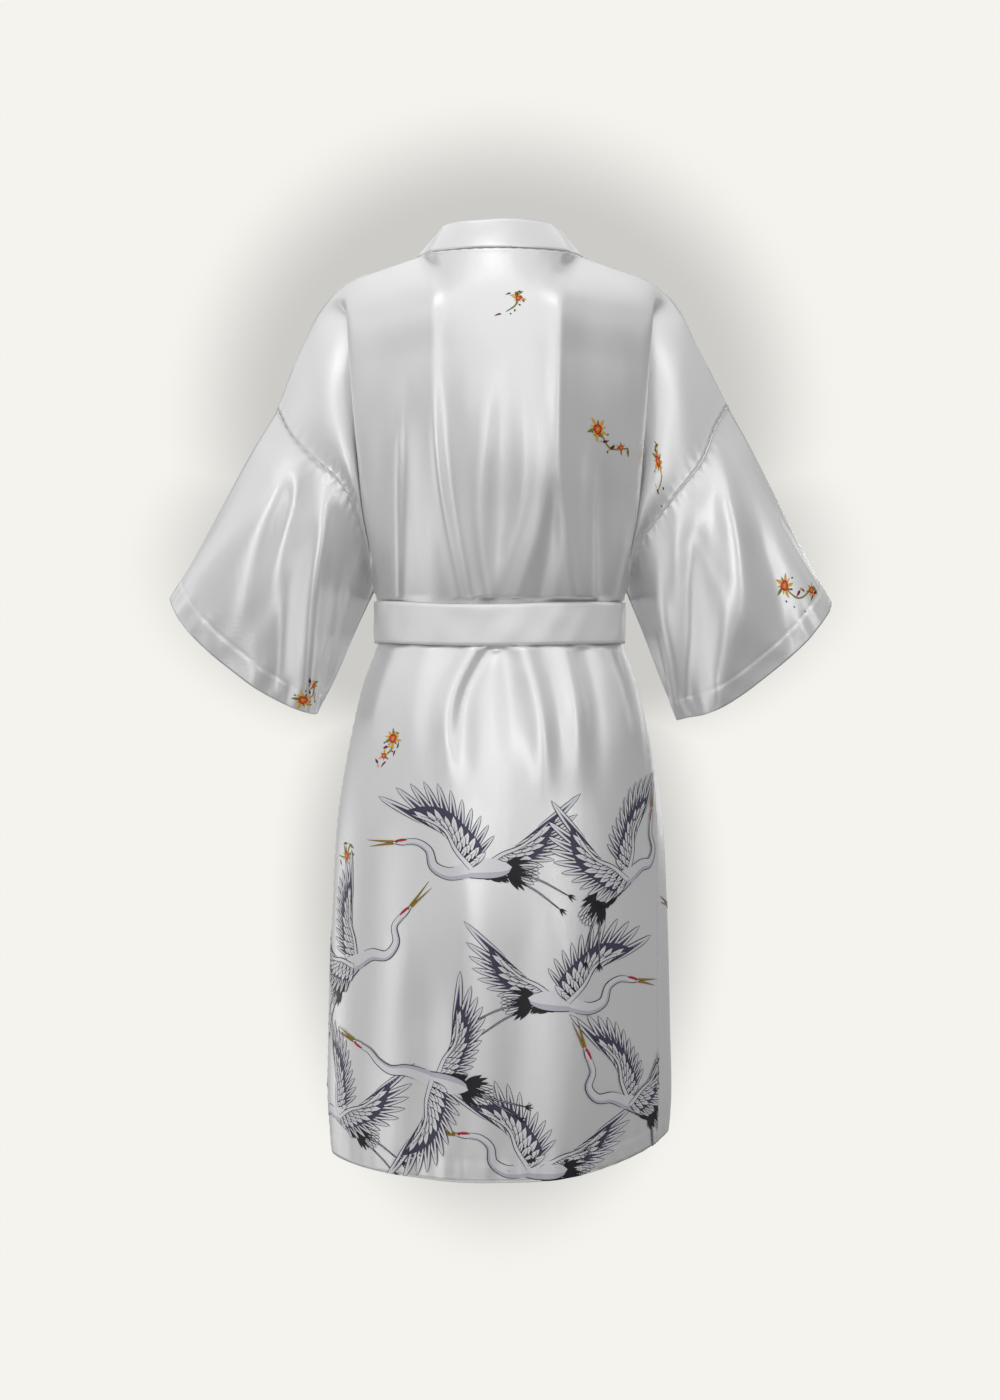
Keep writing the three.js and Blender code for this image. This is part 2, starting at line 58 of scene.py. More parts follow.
# The sign of x on the wearer's two sides
SIDES = {"left": 1, "right": -1}
BACK_LENGTH = 951.0
WAIST_DROP = 350.0
SECTION_POWER = 2.25
HEM_RISE = {"start": 800.0, "left": 17.0, "right": 39.0, "front": 14.0}
BAND_WIDTH = 42.0
UNDER = {"depth": 6.0, "upper": 0.58, "lower": 0.88, "fade": 0.22}
BELT = {"top": 362.0, "width": 43.0, "dip": 4.0, "clear": 1.5}
WAIST = {"half": 128.5, "back": 91.5, "front": 93.5}
CUFF = {"depth": 90.0, "rise": 20.0, "corner": 0.72}
NECK = {"half": 87.0, "back": 75.0, "front": -35.0, "y": 10.0, "z": -1.0, "seam_end": 60.0}
NECK_SHARE = 0.26

RidgePoint = namedtuple("RidgePoint", "s x y z")
RIDGE = [
    RidgePoint(0.275, 91.5, 9, -2.5),
    RidgePoint(0.42, 124, 2, -13),
    RidgePoint(0.56, 163, -3, -28),
    RidgePoint(0.62, 179, -3, -42),
    RidgePoint(0.8, 209, -2, -96),
]
BodyRow = namedtuple("BodyRow", "drop centre_z centre_y fold_x fold_y fold_z round")
BACK_ROWS = [
    BodyRow(55, -42, 93, 160, 22, -64, 1.9),
    BodyRow(125, -112, 110, 155, 42, -124, 2.2),
    BodyRow(200, -191, 116, 149, 53, -197, 2.5),
    BodyRow(278, -275, 107, 141, 46, -279, 2.6),
]
FRONT_ROWS = [
    BodyRow(55, -48, -66, 160, -24, -64, 2.0),
    BodyRow(125, -115, -101, 155, -38, -124, 2.2),
    BodyRow(200, -195, -118, 149, -46, -197, 2.5),
    BodyRow(278, -277, -109, 141, -42, -279, 2.6),
]
CREASE = {"tuck_x": 5.0, "tuck_in": 13.0, "fullness": 9.0}
ARMHOLE = {
    "left": [(234, 0, -160), (220, 27, -187), (194, 48, -215), (160, 52, -247), (143, 31, -298)],
    "right": [(239, 0, -156), (224, 26, -182), (208, 47, -219), (178, 52, -257), (146, 33, -302)],
}
CuffCorners = namedtuple("CuffCorners", "outer_x outer_z inner_x inner_z")
CUFF_CORNERS = {"left": CuffCorners(344, -357, 190, -479), "right": CuffCorners(347, -362, 186, -485)}
SkirtRow = namedtuple("SkirtRow", "drop half back front seam_left seam_right")
SKIRT_ROWS = [
    SkirtRow(350, 132, 94, 96, 90, 90),
    SkirtRow(360, 128.5, 91.5, 93.5, 90, 90),
    SkirtRow(407, 128.5, 91.5, 93.5, 91, 89),
    SkirtRow(440, 141, 103, 100, 92, 85),
    SkirtRow(500, 156, 119, 108, 92, 78),
    SkirtRow(575, 169, 129, 114, 92, 71),
    SkirtRow(675, 176, 134, 118, 93, 66),
    SkirtRow(800, 180, 134, 122, 93, 63),
    SkirtRow(900, 181, 132, 124, 93, 62),
    SkirtRow(BACK_LENGTH, 178, 130, 124, 93, 63),
]
FrontEdge = namedtuple("FrontEdge", "drop s")
FRONT_EDGE = [
    FrontEdge(0, 0.26), FrontEdge(55, 0.215), FrontEdge(125, 0.12), FrontEdge(200, -0.01),
    FrontEdge(278, -0.15), FrontEdge(350, -0.26), FrontEdge(500, -0.3), FrontEdge(BACK_LENGTH, -0.34),
]
Column = namedtuple("Column", "s waist hem")
COLUMNS = [
    Column(0, 0, 0), Column(0.14, 0.2, 0.14), Column(0.26, 0.37, 0.26), Column(0.275, 0.39, 0.275),
    Column(0.42, 0.58, 0.42), Column(0.56, 0.75, 0.56), Column(0.62, 0.81, 0.62), Column(0.8, 0.9, 0.8),
    Column(1, 1, 1),
]

# A fold: its crest's x and z at the top, middle and foot, the half widths on the two sides of the crest (towards
# -X first), its height (a trough's is negative), and the lengths over which it fades in and out
Fold = namedtuple("Fold", "x_top z_top x_mid z_mid x_foot z_foot wide_right wide_left height fade_top fade_foot")
BACK_FOLDS = [
    Fold(101, -120, 104, -250, 105, -366, 5, 14, 3.6, 80, 6),
    Fold(88, -140, 86, -250, 84, -366, 12, 12, -1.8, 90, 10),
    Fold(69, -8, 62, -235, 38, -366, 7, 9, 3.2, 60, 5),
    Fold(54, -110, 52, -250, 34, -366, 14, 14, -2.2, 110, 8),
    Fold(8, -120, 18, -292, 14, -366, 9, 16, 3.0, 100, 5),
    Fold(-20, -120, -22, -270, 8, -366, 9, 12, 1.8, 110, 8),
    Fold(-40, -130, -42, -270, -12, -366, 9, 12, 2.4, 110, 8),
    Fold(-50, -230, -50, -305, -40, -366, 8, 8, -2.4, 60, 8),
    Fold(-61, -8, -60, -235, -75, -366, 22, 40, 6.5, 60, 5),
    Fold(-61, -8, -59, -235, -74, -366, 6, 8, 2.4, 60, 5),
    Fold(-92, -180, -91, -280, -92, -366, 7, 10, 4.2, 70, 6),
    Fold(-108, -190, -107, -290, -108, -366, 11, 11, -2.6, 80, 10),
    Fold(-126, -250, -124, -310, -119, -366, 8, 8, 2.6, 60, 6),
    Fold(-118, -20, -122, -110, -128, -230, 14, 22, 2.5, 60, 90),
    Fold(118, -20, 124, -120, 128, -230, 14, 18, 2.5, 60, 90),
    Fold(24, -408, 47, -452, 52, -560, 13, 11, 6.0, 5, 90),
    Fold(8, -408, 30, -450, 36, -560, 10, 14, -5.0, 5, 90),
    Fold(-22, -408, -35, -452, -48, -590, 12, 12, 6.0, 5, 110),
    Fold(-4, -408, -8, -450, -14, -540, 12, 10, -3.5, 5, 80),
    Fold(-66, -408, -75, -455, -84, -560, 14, 12, 5.0, 5, 90),
    Fold(-82, -408, -94, -460, -104, -580, 11, 12, -4.0, 5, 100),
    Fold(-108, -408, -122, -455, -136, -560, 11, 13, 4.0, 5, 90),
    Fold(74, -408, 86, -455, 96, -570, 14, 12, 3.5, 5, 100),
    Fold(104, -408, 120, -455, 134, -560, 12, 12, 3.5, 5, 90),
    Fold(112, -480, 118, -640, 110, -900, 34, 34, 3.5, 120, 160),
    Fold(40, -560, 20, -720, 30, -951, 40, 34, 4.0, 140, 60),
    Fold(-62, -600, -72, -760, -60, -951, 34, 38, 4.5, 140, 60),
    Fold(-128, -520, -132, -700, -126, -930, 26, 30, 3.0, 120, 120),
    Fold(82, -700, 74, -820, 84, -951, 22, 26, -3.0, 100, 40),
    Fold(-14, -640, -20, -800, -12, -951, 24, 24, -3.0, 120, 40),
]
FRONT_FOLDS = [
    Fold(96, -110, 84, -230, 66, -360, 16, 13, 5.5, 80, 8),
    Fold(70, -150, 60, -250, 48, -360, 12, 12, -4.0, 90, 8),
    Fold(52, -210, 44, -290, 34, -360, 11, 12, 4.5, 70, 8),
    Fold(-98, -100, -88, -235, -72, -360, 13, 17, 6.0, 90, 8),
    Fold(-72, -160, -66, -255, -54, -360, 12, 10, -4.0, 90, 8),
    Fold(-48, -230, -44, -300, -36, -360, 10, 12, 4.0, 60, 8),
    Fold(52, -408, 66, -460, 78, -600, 14, 12, 6.0, 5, 110),
    Fold(30, -408, 42, -455, 52, -580, 12, 12, -4.5, 5, 90),
    Fold(4, -408, 8, -450, 12, -560, 12, 12, 4.0, 5, 90),
    Fold(-66, -408, -76, -470, -84, -610, 12, 14, 5.5, 5, 110),
    Fold(92, -408, 108, -460, 120, -580, 12, 12, 4.0, 5, 90),
    Fold(-104, -408, -118, -460, -130, -580, 12, 12, 4.0, 5, 90),
    Fold(60, -600, 50, -740, 56, -951, 34, 34, 4.0, 140, 60),
    Fold(-40, -580, -30, -740, -44, -951, 36, 32, 4.0, 140, 60),
    Fold(120, -540, 126, -700, 118, -930, 28, 28, 3.0, 120, 100),
]

# A sleeve's fold: where its crest lies round the sleeve (0 top, 0.25 back, 0.5 underneath) at the seam and at the
# cuff, how far along it starts and ends, its half width as a share of the way round, and its height
SleeveFold = namedtuple("SleeveFold", "seam cuff start end width height")
SLEEVE_FOLDS = {
    "left": [
        SleeveFold(0.09, 0.13, -0.3, 1.4, 0.075, 7.5),
        SleeveFold(0.135, 0.33, -0.3, 1.4, 0.042, -8.5),
        SleeveFold(0.212, 0.41, -0.3, 1.4, 0.034, 7.5),
        SleeveFold(0.33, 0.50, 0.0, 1.3, 0.028, -3.5),
        SleeveFold(0.72, 0.62, -0.2, 1.3, 0.045, 5.5),
        SleeveFold(0.83, 0.74, -0.2, 1.3, 0.040, -4.0),
        SleeveFold(0.93, 0.86, -0.2, 1.3, 0.040, 4.5),
    ],
    "right": [
        SleeveFold(0.03, 0.10, -0.2, 1.3, 0.035, 4.0),
        SleeveFold(0.09, 0.34, -0.3, 1.4, 0.042, 6.5),
        SleeveFold(0.05, 0.22, 0.2, 1.3, 0.035, -4.0),
        SleeveFold(0.22, 0.42, 0.0, 1.3, 0.035, -5.0),
        SleeveFold(0.34, 0.46, 0.1, 1.2, 0.030, 4.0),
        SleeveFold(0.74, 0.64, -0.2, 1.3, 0.045, 5.5),
        SleeveFold(0.85, 0.76, -0.2, 1.3, 0.040, -4.0),
        SleeveFold(0.94, 0.88, -0.2, 1.3, 0.040, 4.0),
    ],
}

# Grid sizes of the finished pieces: across, down
GRID = {
    "back": (188, 260), "front": (134, 260), "sleeve": (200, 120), "band": (14, 620), "belt": (360, 12),
    "knot": (96, 60), "tail": (25, 150),
}
# The share of the way to the side seam at which the panels end, and the wall thicknesses
EDGE_SHARE = 0.9992
CLOTH_WALL = 1.1
BAND_WALL = 1.6
TAIL_WALL = 1.2
# A distance at which no seam is felt, and the armhole's welt
FAR = 1e3
WELT = {"radius": 0.8, "out": 0.75, "sides": 8}
# The neckband: how far the lapped free edge sinks, the way it stands at the nape and at the neck's side, and the
# rows of one half on the neck and down to turn_drop, below which the rest lie
LAP_SINK = 2.2
STAND_BACK = np.array([0.0, -25, 33])
STAND_SIDE = np.array([-19.0, -24, 29])
BAND_ROWS = {"neck": 70, "turn": 60, "turn_drop": 60}
BAND_PASSES = 60

KNOT = {"width": 50.0, "height": 46.0, "depth": 26.0, "side": 8.0, "power": 0.7}
KNOT_Y = -(WAIST["front"] + BELT["clear"] + BAND_WALL + 13.4)
KNOT_Z = -(BELT["top"] + BELT["width"] / 2)
TAIL = {"top": -406.8, "spread": 12.0, "splay": 30.0, "half_top": 13.0, "half_foot": 21.5, "off_skirt": 15.0}
TAIL_LENGTH = {"left": 430.0, "right": 415.0}

# The print: the width of a drawn line, the heights of the first layer, of each further one and of a crane over
# others, the largest cell, and for each ink its slot, its screen colour and its share of gloss
LINE = 0.92
LAYER_STEP = 0.013
LEVEL_STEP = 0.58
FIRST_LAYER = 0.26
QUAD = 4.5
INKS = {
    "white": ("satin", (232, 232, 236), 0.45),
    "pale": ("ink_pale", (198, 198, 209), 0.4),
    "slate": ("ink_grey", (72, 69, 92), 0.3),
    "dark": ("ink_dark", (22, 21, 27), 0.1),
    "red": ("ink_red", (200, 14, 48), 0.15),
    "gold": ("ink_gold", (158, 126, 34), 0.25),
    "yellow": ("ink_gold", (230, 178, 52), 0.2),
    "orange": ("ink_orange", (226, 110, 36), 0.2),
    "crimson": ("ink_red", (120, 14, 56), 0.15),
    "olive": ("ink_gold", (132, 130, 34), 0.2),
}

FLOOR = {"z": -1.3, "radius": 0.44, "fade": 0.14}
# The world's light on the cloth: levels over the direction's z, and over its x below and above WORLD_TURN
WORLD_STRENGTH = 1.27
WORLD_HEIGHT = [(-1, 0.34), (-0.45, 0.4), (-0.25, 0.54), (-0.05, 0.74), (0.08, 0.66), (0.28, 0.6), (0.45, 1.14),
                (0.7, 1.1), (1, 0.9)]
WORLD_SIDE_LOW = [(-1, 0.42), (-0.6, 0.4), (-0.25, 0.44), (-0.08, 0.66), (0.06, 0.95), (0.18, 0.62), (0.3, 0.38),
                  (0.5, 0.38), (0.6, 0.74), (0.76, 1.3), (0.9, 0.95), (0.98, 0.5)]
WORLD_SIDE_UP = [(-1, 0.4), (-0.7, 0.4), (-0.45, 0.62), (-0.2, 0.68), (0.1, 0.74), (0.35, 0.7), (0.55, 0.62),
                 (0.8, 0.54), (0.93, 0.7), (1, 0.8)]
WORLD_TURN = (-0.04, 0.16)
# The backdrop's soft shade behind the robe: ellipses as (x, z, half width, half height) of the camera's direction
SHADES = [(0, 0.092, 0.112, 0.105), (0, 0.043, 0.126, 0.0705), (0, -0.066, 0.077, 0.12)]
SHADE_EDGE = 0.36
PAPER = (244, 243, 238)
PAPER_SHADE = (204, 203, 199)
StripLight = namedtuple("StripLight", "name x y z aim_z wide high watts")
LIGHTS = [
    StripLight("Strip_left", 0.35, 3.5, 0.1, -0.45, 0.16, 2.0, 5),
    StripLight("Strip_right", -1.3, 2.7, 0.1, -0.45, 0.14, 1.6, 3),
    StripLight("Top", 0.2, 1.0, 2.2, -0.3, 1.2, 0.8, 2.5),
]
CAMERA = {"y": 3.2, "z": -0.4645, "sensor": 36, "view_height": 1.47}


def smooth(x, low, high):
    """3t^2 - 2t^3 with t running from 0 at low to 1 at high."""
    t = np.clip((np.asarray(x, float) - low) / (high - low), 0.0, 1.0)
    return t * t * (3.0 - 2.0 * t)


def lerp(a, b, t):
    """a at t = 0 and b at t = 1, in a straight line."""
    return a + (b - a) * t


def spline_weights(knots, u):
    """Weights W with W @ values a cubic through the knots; a knot's slope is its neighbours' parabola's."""
    knots = np.asarray(knots, float)
    u = np.asarray(u, float).ravel()
    gap = np.diff(knots)
    count = len(knots)
    slope = np.zeros((count, count))
    for i in range(count):
        before = gap[i - 1] if i else 0.0
        after = gap[i] if i < count - 1 else 0.0
        total = before + after
        if before:
            share = (after or before) / total / before
            slope[i, i] += share
            slope[i, i - 1] -= share
        if after:
            share = (before or after) / total / after
            slope[i, i + 1] += share
            slope[i, i] -= share
    k = np.clip(np.searchsorted(knots, u, side="right") - 1, 0, count - 2)
    h = gap[k]
    t = (u - knots[k]) / h
    rows = np.arange(len(u))
    weights = (h * t * (1 - t) ** 2)[:, None] * slope[k] + (h * t * t * (t - 1))[:, None] * slope[k + 1]
    weights[rows, k] += (1 + 2 * t) * (1 - t) ** 2
    weights[rows, k + 1] += t * t * (3 - 2 * t)
    return weights


def table_value(rows, key, value, u):
    """The column value of a table, on a cubic over its key column."""
    knots = [getattr(r, key) for r in rows]
    return (spline_weights(knots, u) @ np.array([getattr(r, value) for r in rows], float)).reshape(np.shape(u))


def signed_power(v, power):
    """|v| to the power, with v's sign."""
    return np.sign(v) * np.abs(v) ** power


def section_point(half, back, front, drop, angle):
    """A superellipse at a drop: half sin and depth cos, each to the power 2/n, with the hem's rise at low z."""
    c = np.cos(np.radians(angle))
    q = np.sin(np.radians(angle))
    x = half * signed_power(q, 2 / SECTION_POWER)
    y = np.where(c < 0, front, back) * signed_power(c, 2 / SECTION_POWER)
    low = np.clip((drop - HEM_RISE["start"]) / (BACK_LENGTH - HEM_RISE["start"]), 0, 1) ** 2
    side = np.where(q < 0, HEM_RISE["right"], HEM_RISE["left"]) * q * q
    ahead = np.where(c < 0, HEM_RISE["front"] * c * c, 0)
    return np.stack(np.broadcast_arrays(x, y, -drop + low * (side + ahead)), axis=-1)


def upper_point(rows, i, column, side):
    """A control point above the waist: on the ridge for i = 0, else on row i - 1 of the face's table."""
    flip = SIDES[side]
    to_back = 1 if rows is BACK_ROWS else -1
    x, y, z = ARMHOLE[side][i]
    if i == 0:
        if column.s > 0.9:
            return flip * x, 0, z
        for ridge in RIDGE:
            if ridge.s == column.s:
                return flip * ridge.x, ridge.y, ridge.z
        turn = column.s / NECK_SHARE * math.pi / 2
        neck_y = NECK["back"] if to_back > 0 else NECK["front"]
        return (flip * NECK["half"] * math.sin(turn), lerp(neck_y, NECK["y"], 1 - math.cos(turn)),
                NECK["z"] * math.sin(turn))
    row = rows[i - 1]
    if column.s <= 0.56:
        along = column.s / 0.56
        return (flip * row.fold_x * along, lerp(row.centre_y, row.fold_y, along ** row.round),
                lerp(row.centre_z, row.fold_z, along * along))
    tuck = np.array([row.fold_x - CREASE["tuck_x"], row.fold_y - to_back * CREASE["tuck_in"], row.fold_z])
    seam = np.array([x, to_back * y, z], float)
    if column.s < 0.7:
        point = tuck
    elif column.s < 0.9:
        point = (tuck + seam) / 2 + np.array([0, to_back * CREASE["fullness"], 0])
    else:
        point = seam
    return flip * point[0], point[1], point[2]


class Face:
    """One face of the body, back or front: its net of control points and its folds."""

    def __init__(self, rows, folds):
        self.to_back = 1 if rows is BACK_ROWS else -1
        self.folds = folds
        columns = [(c, "right") for c in reversed(COLUMNS[1:])] + [(c, "left") for c in COLUMNS]
        self.s = [-c.s if side == "right" else c.s for c, side in columns]
        self.drops = [0] + [r.drop for r in rows] + [r.drop for r in SKIRT_ROWS]
        net = [[upper_point(rows, i, c, side) for c, side in columns] for i in range(len(rows) + 1)]
        for row in SKIRT_ROWS:
            even = float(smooth(row.drop, WAIST_DROP, 620))
            line = []
            for c, side in columns:
                seam = -row.seam_right if side == "right" else row.seam_left
                centre = 0 if self.to_back > 0 else 180 * np.sign(seam)
                angle = lerp(centre, seam, lerp(c.waist, c.hem, even))
                line.append(section_point(row.half, row.back, row.front, row.drop, angle))
            net.append(line)
        self.net = np.array(net, float)

    def smooth_points(self, s, drops):
        """Points without folds: s is a grid with one row for each drop."""
        down = np.einsum("ja,abc->jbc", spline_weights(self.drops, drops), self.net)
        across = spline_weights(self.s, s).reshape(*s.shape, len(self.s))
        return np.einsum("jib,jbc->jic", across, down)

    def points(self, s, drops):
        """Points with folds, each moved out along the level part of the smooth surface's normal."""
        p = self.smooth_points(s, drops)
        height = fold_height(self.folds, p[..., 0], p[..., 2])
        height += ripple(p, self.to_back) * smooth(drops, 30, 120)[:, None]
        height -= belt_squeeze(height, -p[..., 2])
        return p + level_normals(p, self.to_back) * height[..., None]


def fold_height(folds, x, z):
    """Sum of ridges exp(-(d / width)^2), d the way across from a crest line, a cubic through three points."""
    height = np.zeros_like(x)
    for f in folds:
        crest = spline_weights([-f.z_top, -f.z_mid, -f.z_foot], np.clip(-z, -f.z_top, -f.z_foot))
        crest = (crest @ np.array([f.x_top, f.x_mid, f.x_foot], float)).reshape(x.shape)
        away = x - crest
        away = away / np.where(away < 0, f.wide_right, f.wide_left)
        reach = smooth(-z, -f.z_top, -f.z_top + f.fade_top)
        reach *= 1 if f.z_foot < -BACK_LENGTH + 1 else smooth(z, f.z_foot, f.z_foot + f.fade_foot)
        height += f.height * np.exp(-away * away) * reach
    return height


def ripple(p, to_back):
    """The cloth's own slight unevenness: three long waves that cross, under half a millimetre each."""
    x, y, z = p[..., 0], p[..., 1], p[..., 2]
    turn = np.arctan2(x, to_back * y + 40) * 120
    wave = 0.35 * np.sin(turn / 17 + z / 90 + to_back) + 0.3 * np.sin(turn / 29 - z / 61 + 2 * to_back)
    return wave + 0.22 * np.sin(turn / 9 + 1.7 * np.sin(z / 75)) * np.sin(z / 130 + 1)


def belt_squeeze(height, drop):
    """What the belt takes off a fold: all that stands out, between the belt's two edges."""
    under = smooth(drop, BELT["top"] - 4, BELT["top"] + 2)
    under = under * smooth(-drop, -(BELT["top"] + BELT["width"] + 5), -(BELT["top"] + BELT["width"] - 1))
    return under * (np.maximum(height, 0) + 0.3)


def level_normals(p, to_back):
    """Unit normals of a grid with their z part left out, pointing out of the garment."""
    across = np.gradient(p, axis=1)
    down = np.gradient(p, axis=0)
    n = np.cross(across, down)
    n[..., 2] = 0
    return unit(n) * np.sign(np.sum(n[..., 1]) * to_back)


def unit(v):
    """v over its own length."""
    return v / np.maximum(np.linalg.norm(v, axis=-1, keepdims=True), 1e-9)


def grid_normals(p, ring=False):
    """Unit normals of a grid, across x down."""
    if ring:
        wide = np.concatenate([p[:, -2:], p, p[:, :2]], axis=1)
        across = np.gradient(wide, axis=1)[:, 2:-2]
    else:
        across = np.gradient(p, axis=1)
    return unit(np.cross(across, np.gradient(p, axis=0)))


def arc_lengths(p, axis):
    """The way along a grid from its first row or column, summed from point to point."""
    step = np.linalg.norm(np.diff(p, axis=axis), axis=-1)
    start = np.zeros_like(step[:1] if axis == 0 else step[:, :1])
    return np.concatenate([start, np.cumsum(step, axis=axis)], axis=axis)


BACK = Face(BACK_ROWS, BACK_FOLDS)
FRONT = Face(FRONT_ROWS, FRONT_FOLDS)


def front_edge(drops):
    """s of a front's inner edge."""
    return table_value(FRONT_EDGE, "drop", "s", drops)


def side_front_points(side, s, drops):
    """A front's points, s counted from the centre to its own side; the right one lies a little further in."""
    way = SIDES[side]
    p = FRONT.points(way * s, drops)
    if side == "right":
        n = grid_normals(p)
        n *= -np.sign(np.sum(n[..., 1]))
        limit = lerp(UNDER["upper"], UNDER["lower"], smooth(drops, 290, 348))[:, None]
        under = smooth(limit - s, 0, UNDER["fade"]) * smooth(drops, 60, 170)[:, None] * UNDER["depth"]
        p = p - n * under[..., None]
    return p


def row_drops(count):
    """Drops of a fine grid's rows: even, but closer together near the shoulder and at the belt."""
    knots = np.array([0, 40, 340, 362, 410, 440, BACK_LENGTH])
    share = np.array([0, 0.07, 0.37, 0.42, 0.49, 0.54, 1.0])
    return np.interp(np.linspace(0, 1, count), share, knots)


def side_shares(count):
    """s from -1 to 1, closer together where the sleeve side is folded behind the body."""
    half = np.interp(np.linspace(0, 1, count // 2 + 1), [0, 0.5, 0.78, 1], [0, 0.48, 0.68, 1])
    return np.concatenate([-half[:0:-1], half])


def sew_edge(p, normals, distance, along, reach=11.0, depth=-0.45):
    """Draws cloth in at a seam: a dip exp(-(d/1.5)^2) with a lip behind it, or a welt where depth is negative, and
    puckers that die out in reach."""
    lip = 0.4 if depth > 0 else 0.0
    dip = -depth * np.exp(-((distance / 1.5) ** 2)) + lip * np.exp(-(((distance - 2.6) / 1.4) ** 2))
    pucker = np.sin(2 * np.pi * along / 12.5 + 1.3 * np.sin(along / 19.0))
    pucker = 0.42 * pucker * np.exp(-((distance / reach) ** 2))
    return p + normals * (dip + pucker)[..., None]


def sew_side(p, normals, distance, along, drops):
    """Sews a panel's outer edge: a welt at the armhole above the waist and a dip at the side seam below it."""
    upper = (drops < WAIST_DROP)[:, None]
    along = np.repeat(along, p.shape[1], 1)
    p = sew_edge(p, normals, np.where(upper, distance, FAR), along)
    return sew_edge(p, normals, np.where(upper, FAR, distance), along, reach=7, depth=0.4)


def hem_shape(p, normals, distance, along, turn=20.0):
    """A turned and stitched hem: fuller by the fold, a groove at the stitches, and uneven puckers along both."""
    full = 0.25 * smooth(-distance, -turn, -turn + 4)
    groove = -0.22 * np.exp(-(((distance - turn) / 1.3) ** 2))
    pucker = np.sin(2 * np.pi * along / 21 + 2.0 * np.sin(along / 47)) * (0.6 + 0.4 * np.sin(along / 83))
    pucker = 0.7 * pucker * np.exp(-(((distance - turn * 0.6) / 16) ** 2))
    return p + normals * (full + groove + pucker)[..., None]


def outward(p, n):
    """The normals n, turned to point away from the grid's own middle."""
    middle = p.mean(axis=(0, 1), keepdims=True)
    return n if np.sum(n * (p - middle)) > 0 else -n


def back_grid():
    """The back, sewn at its sides and the neck and hemmed, and its rows' drops."""
    across, down = GRID["back"]
    drops = row_drops(down)
    s = np.tile(side_shares(across) * EDGE_SHARE, (down, 1))
    p = BACK.points(s, drops)
    n = grid_normals(p)
    n = n if n[down // 2, across // 2, 1] > 0 else -n
    way = arc_lengths(p, 1)
    seam = arc_lengths(p, 0)
    p = sew_side(p, n, way, seam[:, :1], drops)
    p = sew_side(p, n, way[:, -1:] - way, seam[:, -1:], drops)
    neck = seam + NECK["seam_end"] * smooth(np.abs(s), NECK_SHARE - 0.05, NECK_SHARE + 0.03)
    p = sew_edge(p, n, neck, way, reach=8, depth=0.6)
    return hem_shape(p, n, seam[-1:] - seam, way), drops


def front_grid(side):
    """A front from its inner edge to the side, sewn and hemmed as the back is, and its rows' drops."""
    across, down = GRID["front"]
    drops = row_drops(down)
    share = np.interp(np.linspace(0, 1, across), [0, 0.55, 0.8, 1], [0, 0.6, 0.76, 1])
    edge = front_edge(drops)[:, None]
    s = edge + (EDGE_SHARE - edge) * share
    p = side_front_points(side, s, drops)
    n = grid_normals(p)
    n = n if n[down // 2, across // 3, 1] < 0 else -n
    way = arc_lengths(p, 1)
    seam = arc_lengths(p, 0)
    p = sew_side(p, n, way[:, -1:] - way, seam[:, -1:], drops)
    p = sew_edge(p, n, way, np.repeat(seam[:, :1], across, 1), reach=7, depth=0.4)
    return hem_shape(p, n, seam[-1:] - seam, way), drops


def armhole_ring(side, count):
    """The armhole seam as a ring: down the back's edge from the shoulder's end and up the front's."""
    way = SIDES[side]
    half = count // 2
    drops = WAIST_DROP * (np.arange(half + 1) / half) ** 0.85
    edge = np.full((half + 1, 1), float(way))
    behind = BACK.smooth_points(edge, drops)[:, 0]
    ahead = FRONT.smooth_points(edge, drops)[:, 0]
    return np.concatenate([behind, ahead[-2:0:-1]])


def sleeve_grid(side):
    """A sleeve: straight lines from the armhole ring to the cuff's rounded ring, fuller between, with folds."""
    around, along_count = GRID["sleeve"]
    way = SIDES[side]
    corners = CUFF_CORNERS[side]
    start = armhole_ring(side, around)
    outer = np.array([way * corners.outer_x, 0, corners.outer_z], float)
    inner = np.array([way * corners.inner_x, 0, corners.inner_z], float)
    middle = (outer + inner) / 2
    axis = unit(outer - start[0])
    turn = np.linspace(0, 1, around, endpoint=False)
    c = np.cos(2 * np.pi * turn)[:, None]
    q = np.sin(2 * np.pi * turn)[:, None]
    end = middle + (outer - middle) * signed_power(c, CUFF["corner"])
    end = end + np.array([0, CUFF["depth"] / 2, 0]) * signed_power(q, CUFF["corner"])
    end = end + axis * CUFF["rise"] * (1 - c * c)
    w = np.concatenate([[0.0004, 0.004, 0.01], np.linspace(0.02, 1, along_count - 3)])
    p = start[None] + (end - start)[None] * w[:, None, None]
    bend = np.sin(np.pi * w)[:, None]
    p[..., 1] += np.sign(q[:, 0]) * 8 * bend * np.abs(q[:, 0])
    n = outward(p, grid_normals(p, ring=True))
    height = np.zeros(p.shape[:2])
    grid_turn = np.broadcast_to(turn, height.shape)
    for f in SLEEVE_FOLDS[side]:
        crest = lerp(f.seam, f.cuff, w)[:, None]
        reach = smooth(w, f.start, f.start + 0.35) * smooth(-w, -f.end, -f.end + 0.35)
        height += f.height * np.exp(-(((grid_turn - crest) / f.width) ** 2)) * reach[:, None]
    height *= smooth(w, 0, 0.22)[:, None]
    height += 0.5 * np.sin(grid_turn * 2 * np.pi * 7 + w[:, None] * 6) * smooth(w, 0, 0.3)[:, None]
    p = p + n * height[..., None]
    seam = np.repeat(arc_lengths(np.concatenate([start, start[:1]])[None], 1)[:, :-1], len(w), 0)
    length = arc_lengths(p, 0)
    p = sew_edge(p, n, length, seam, reach=9)
    return hem_shape(p, n, length[-1:] - length, seam * 1.1, turn=22)


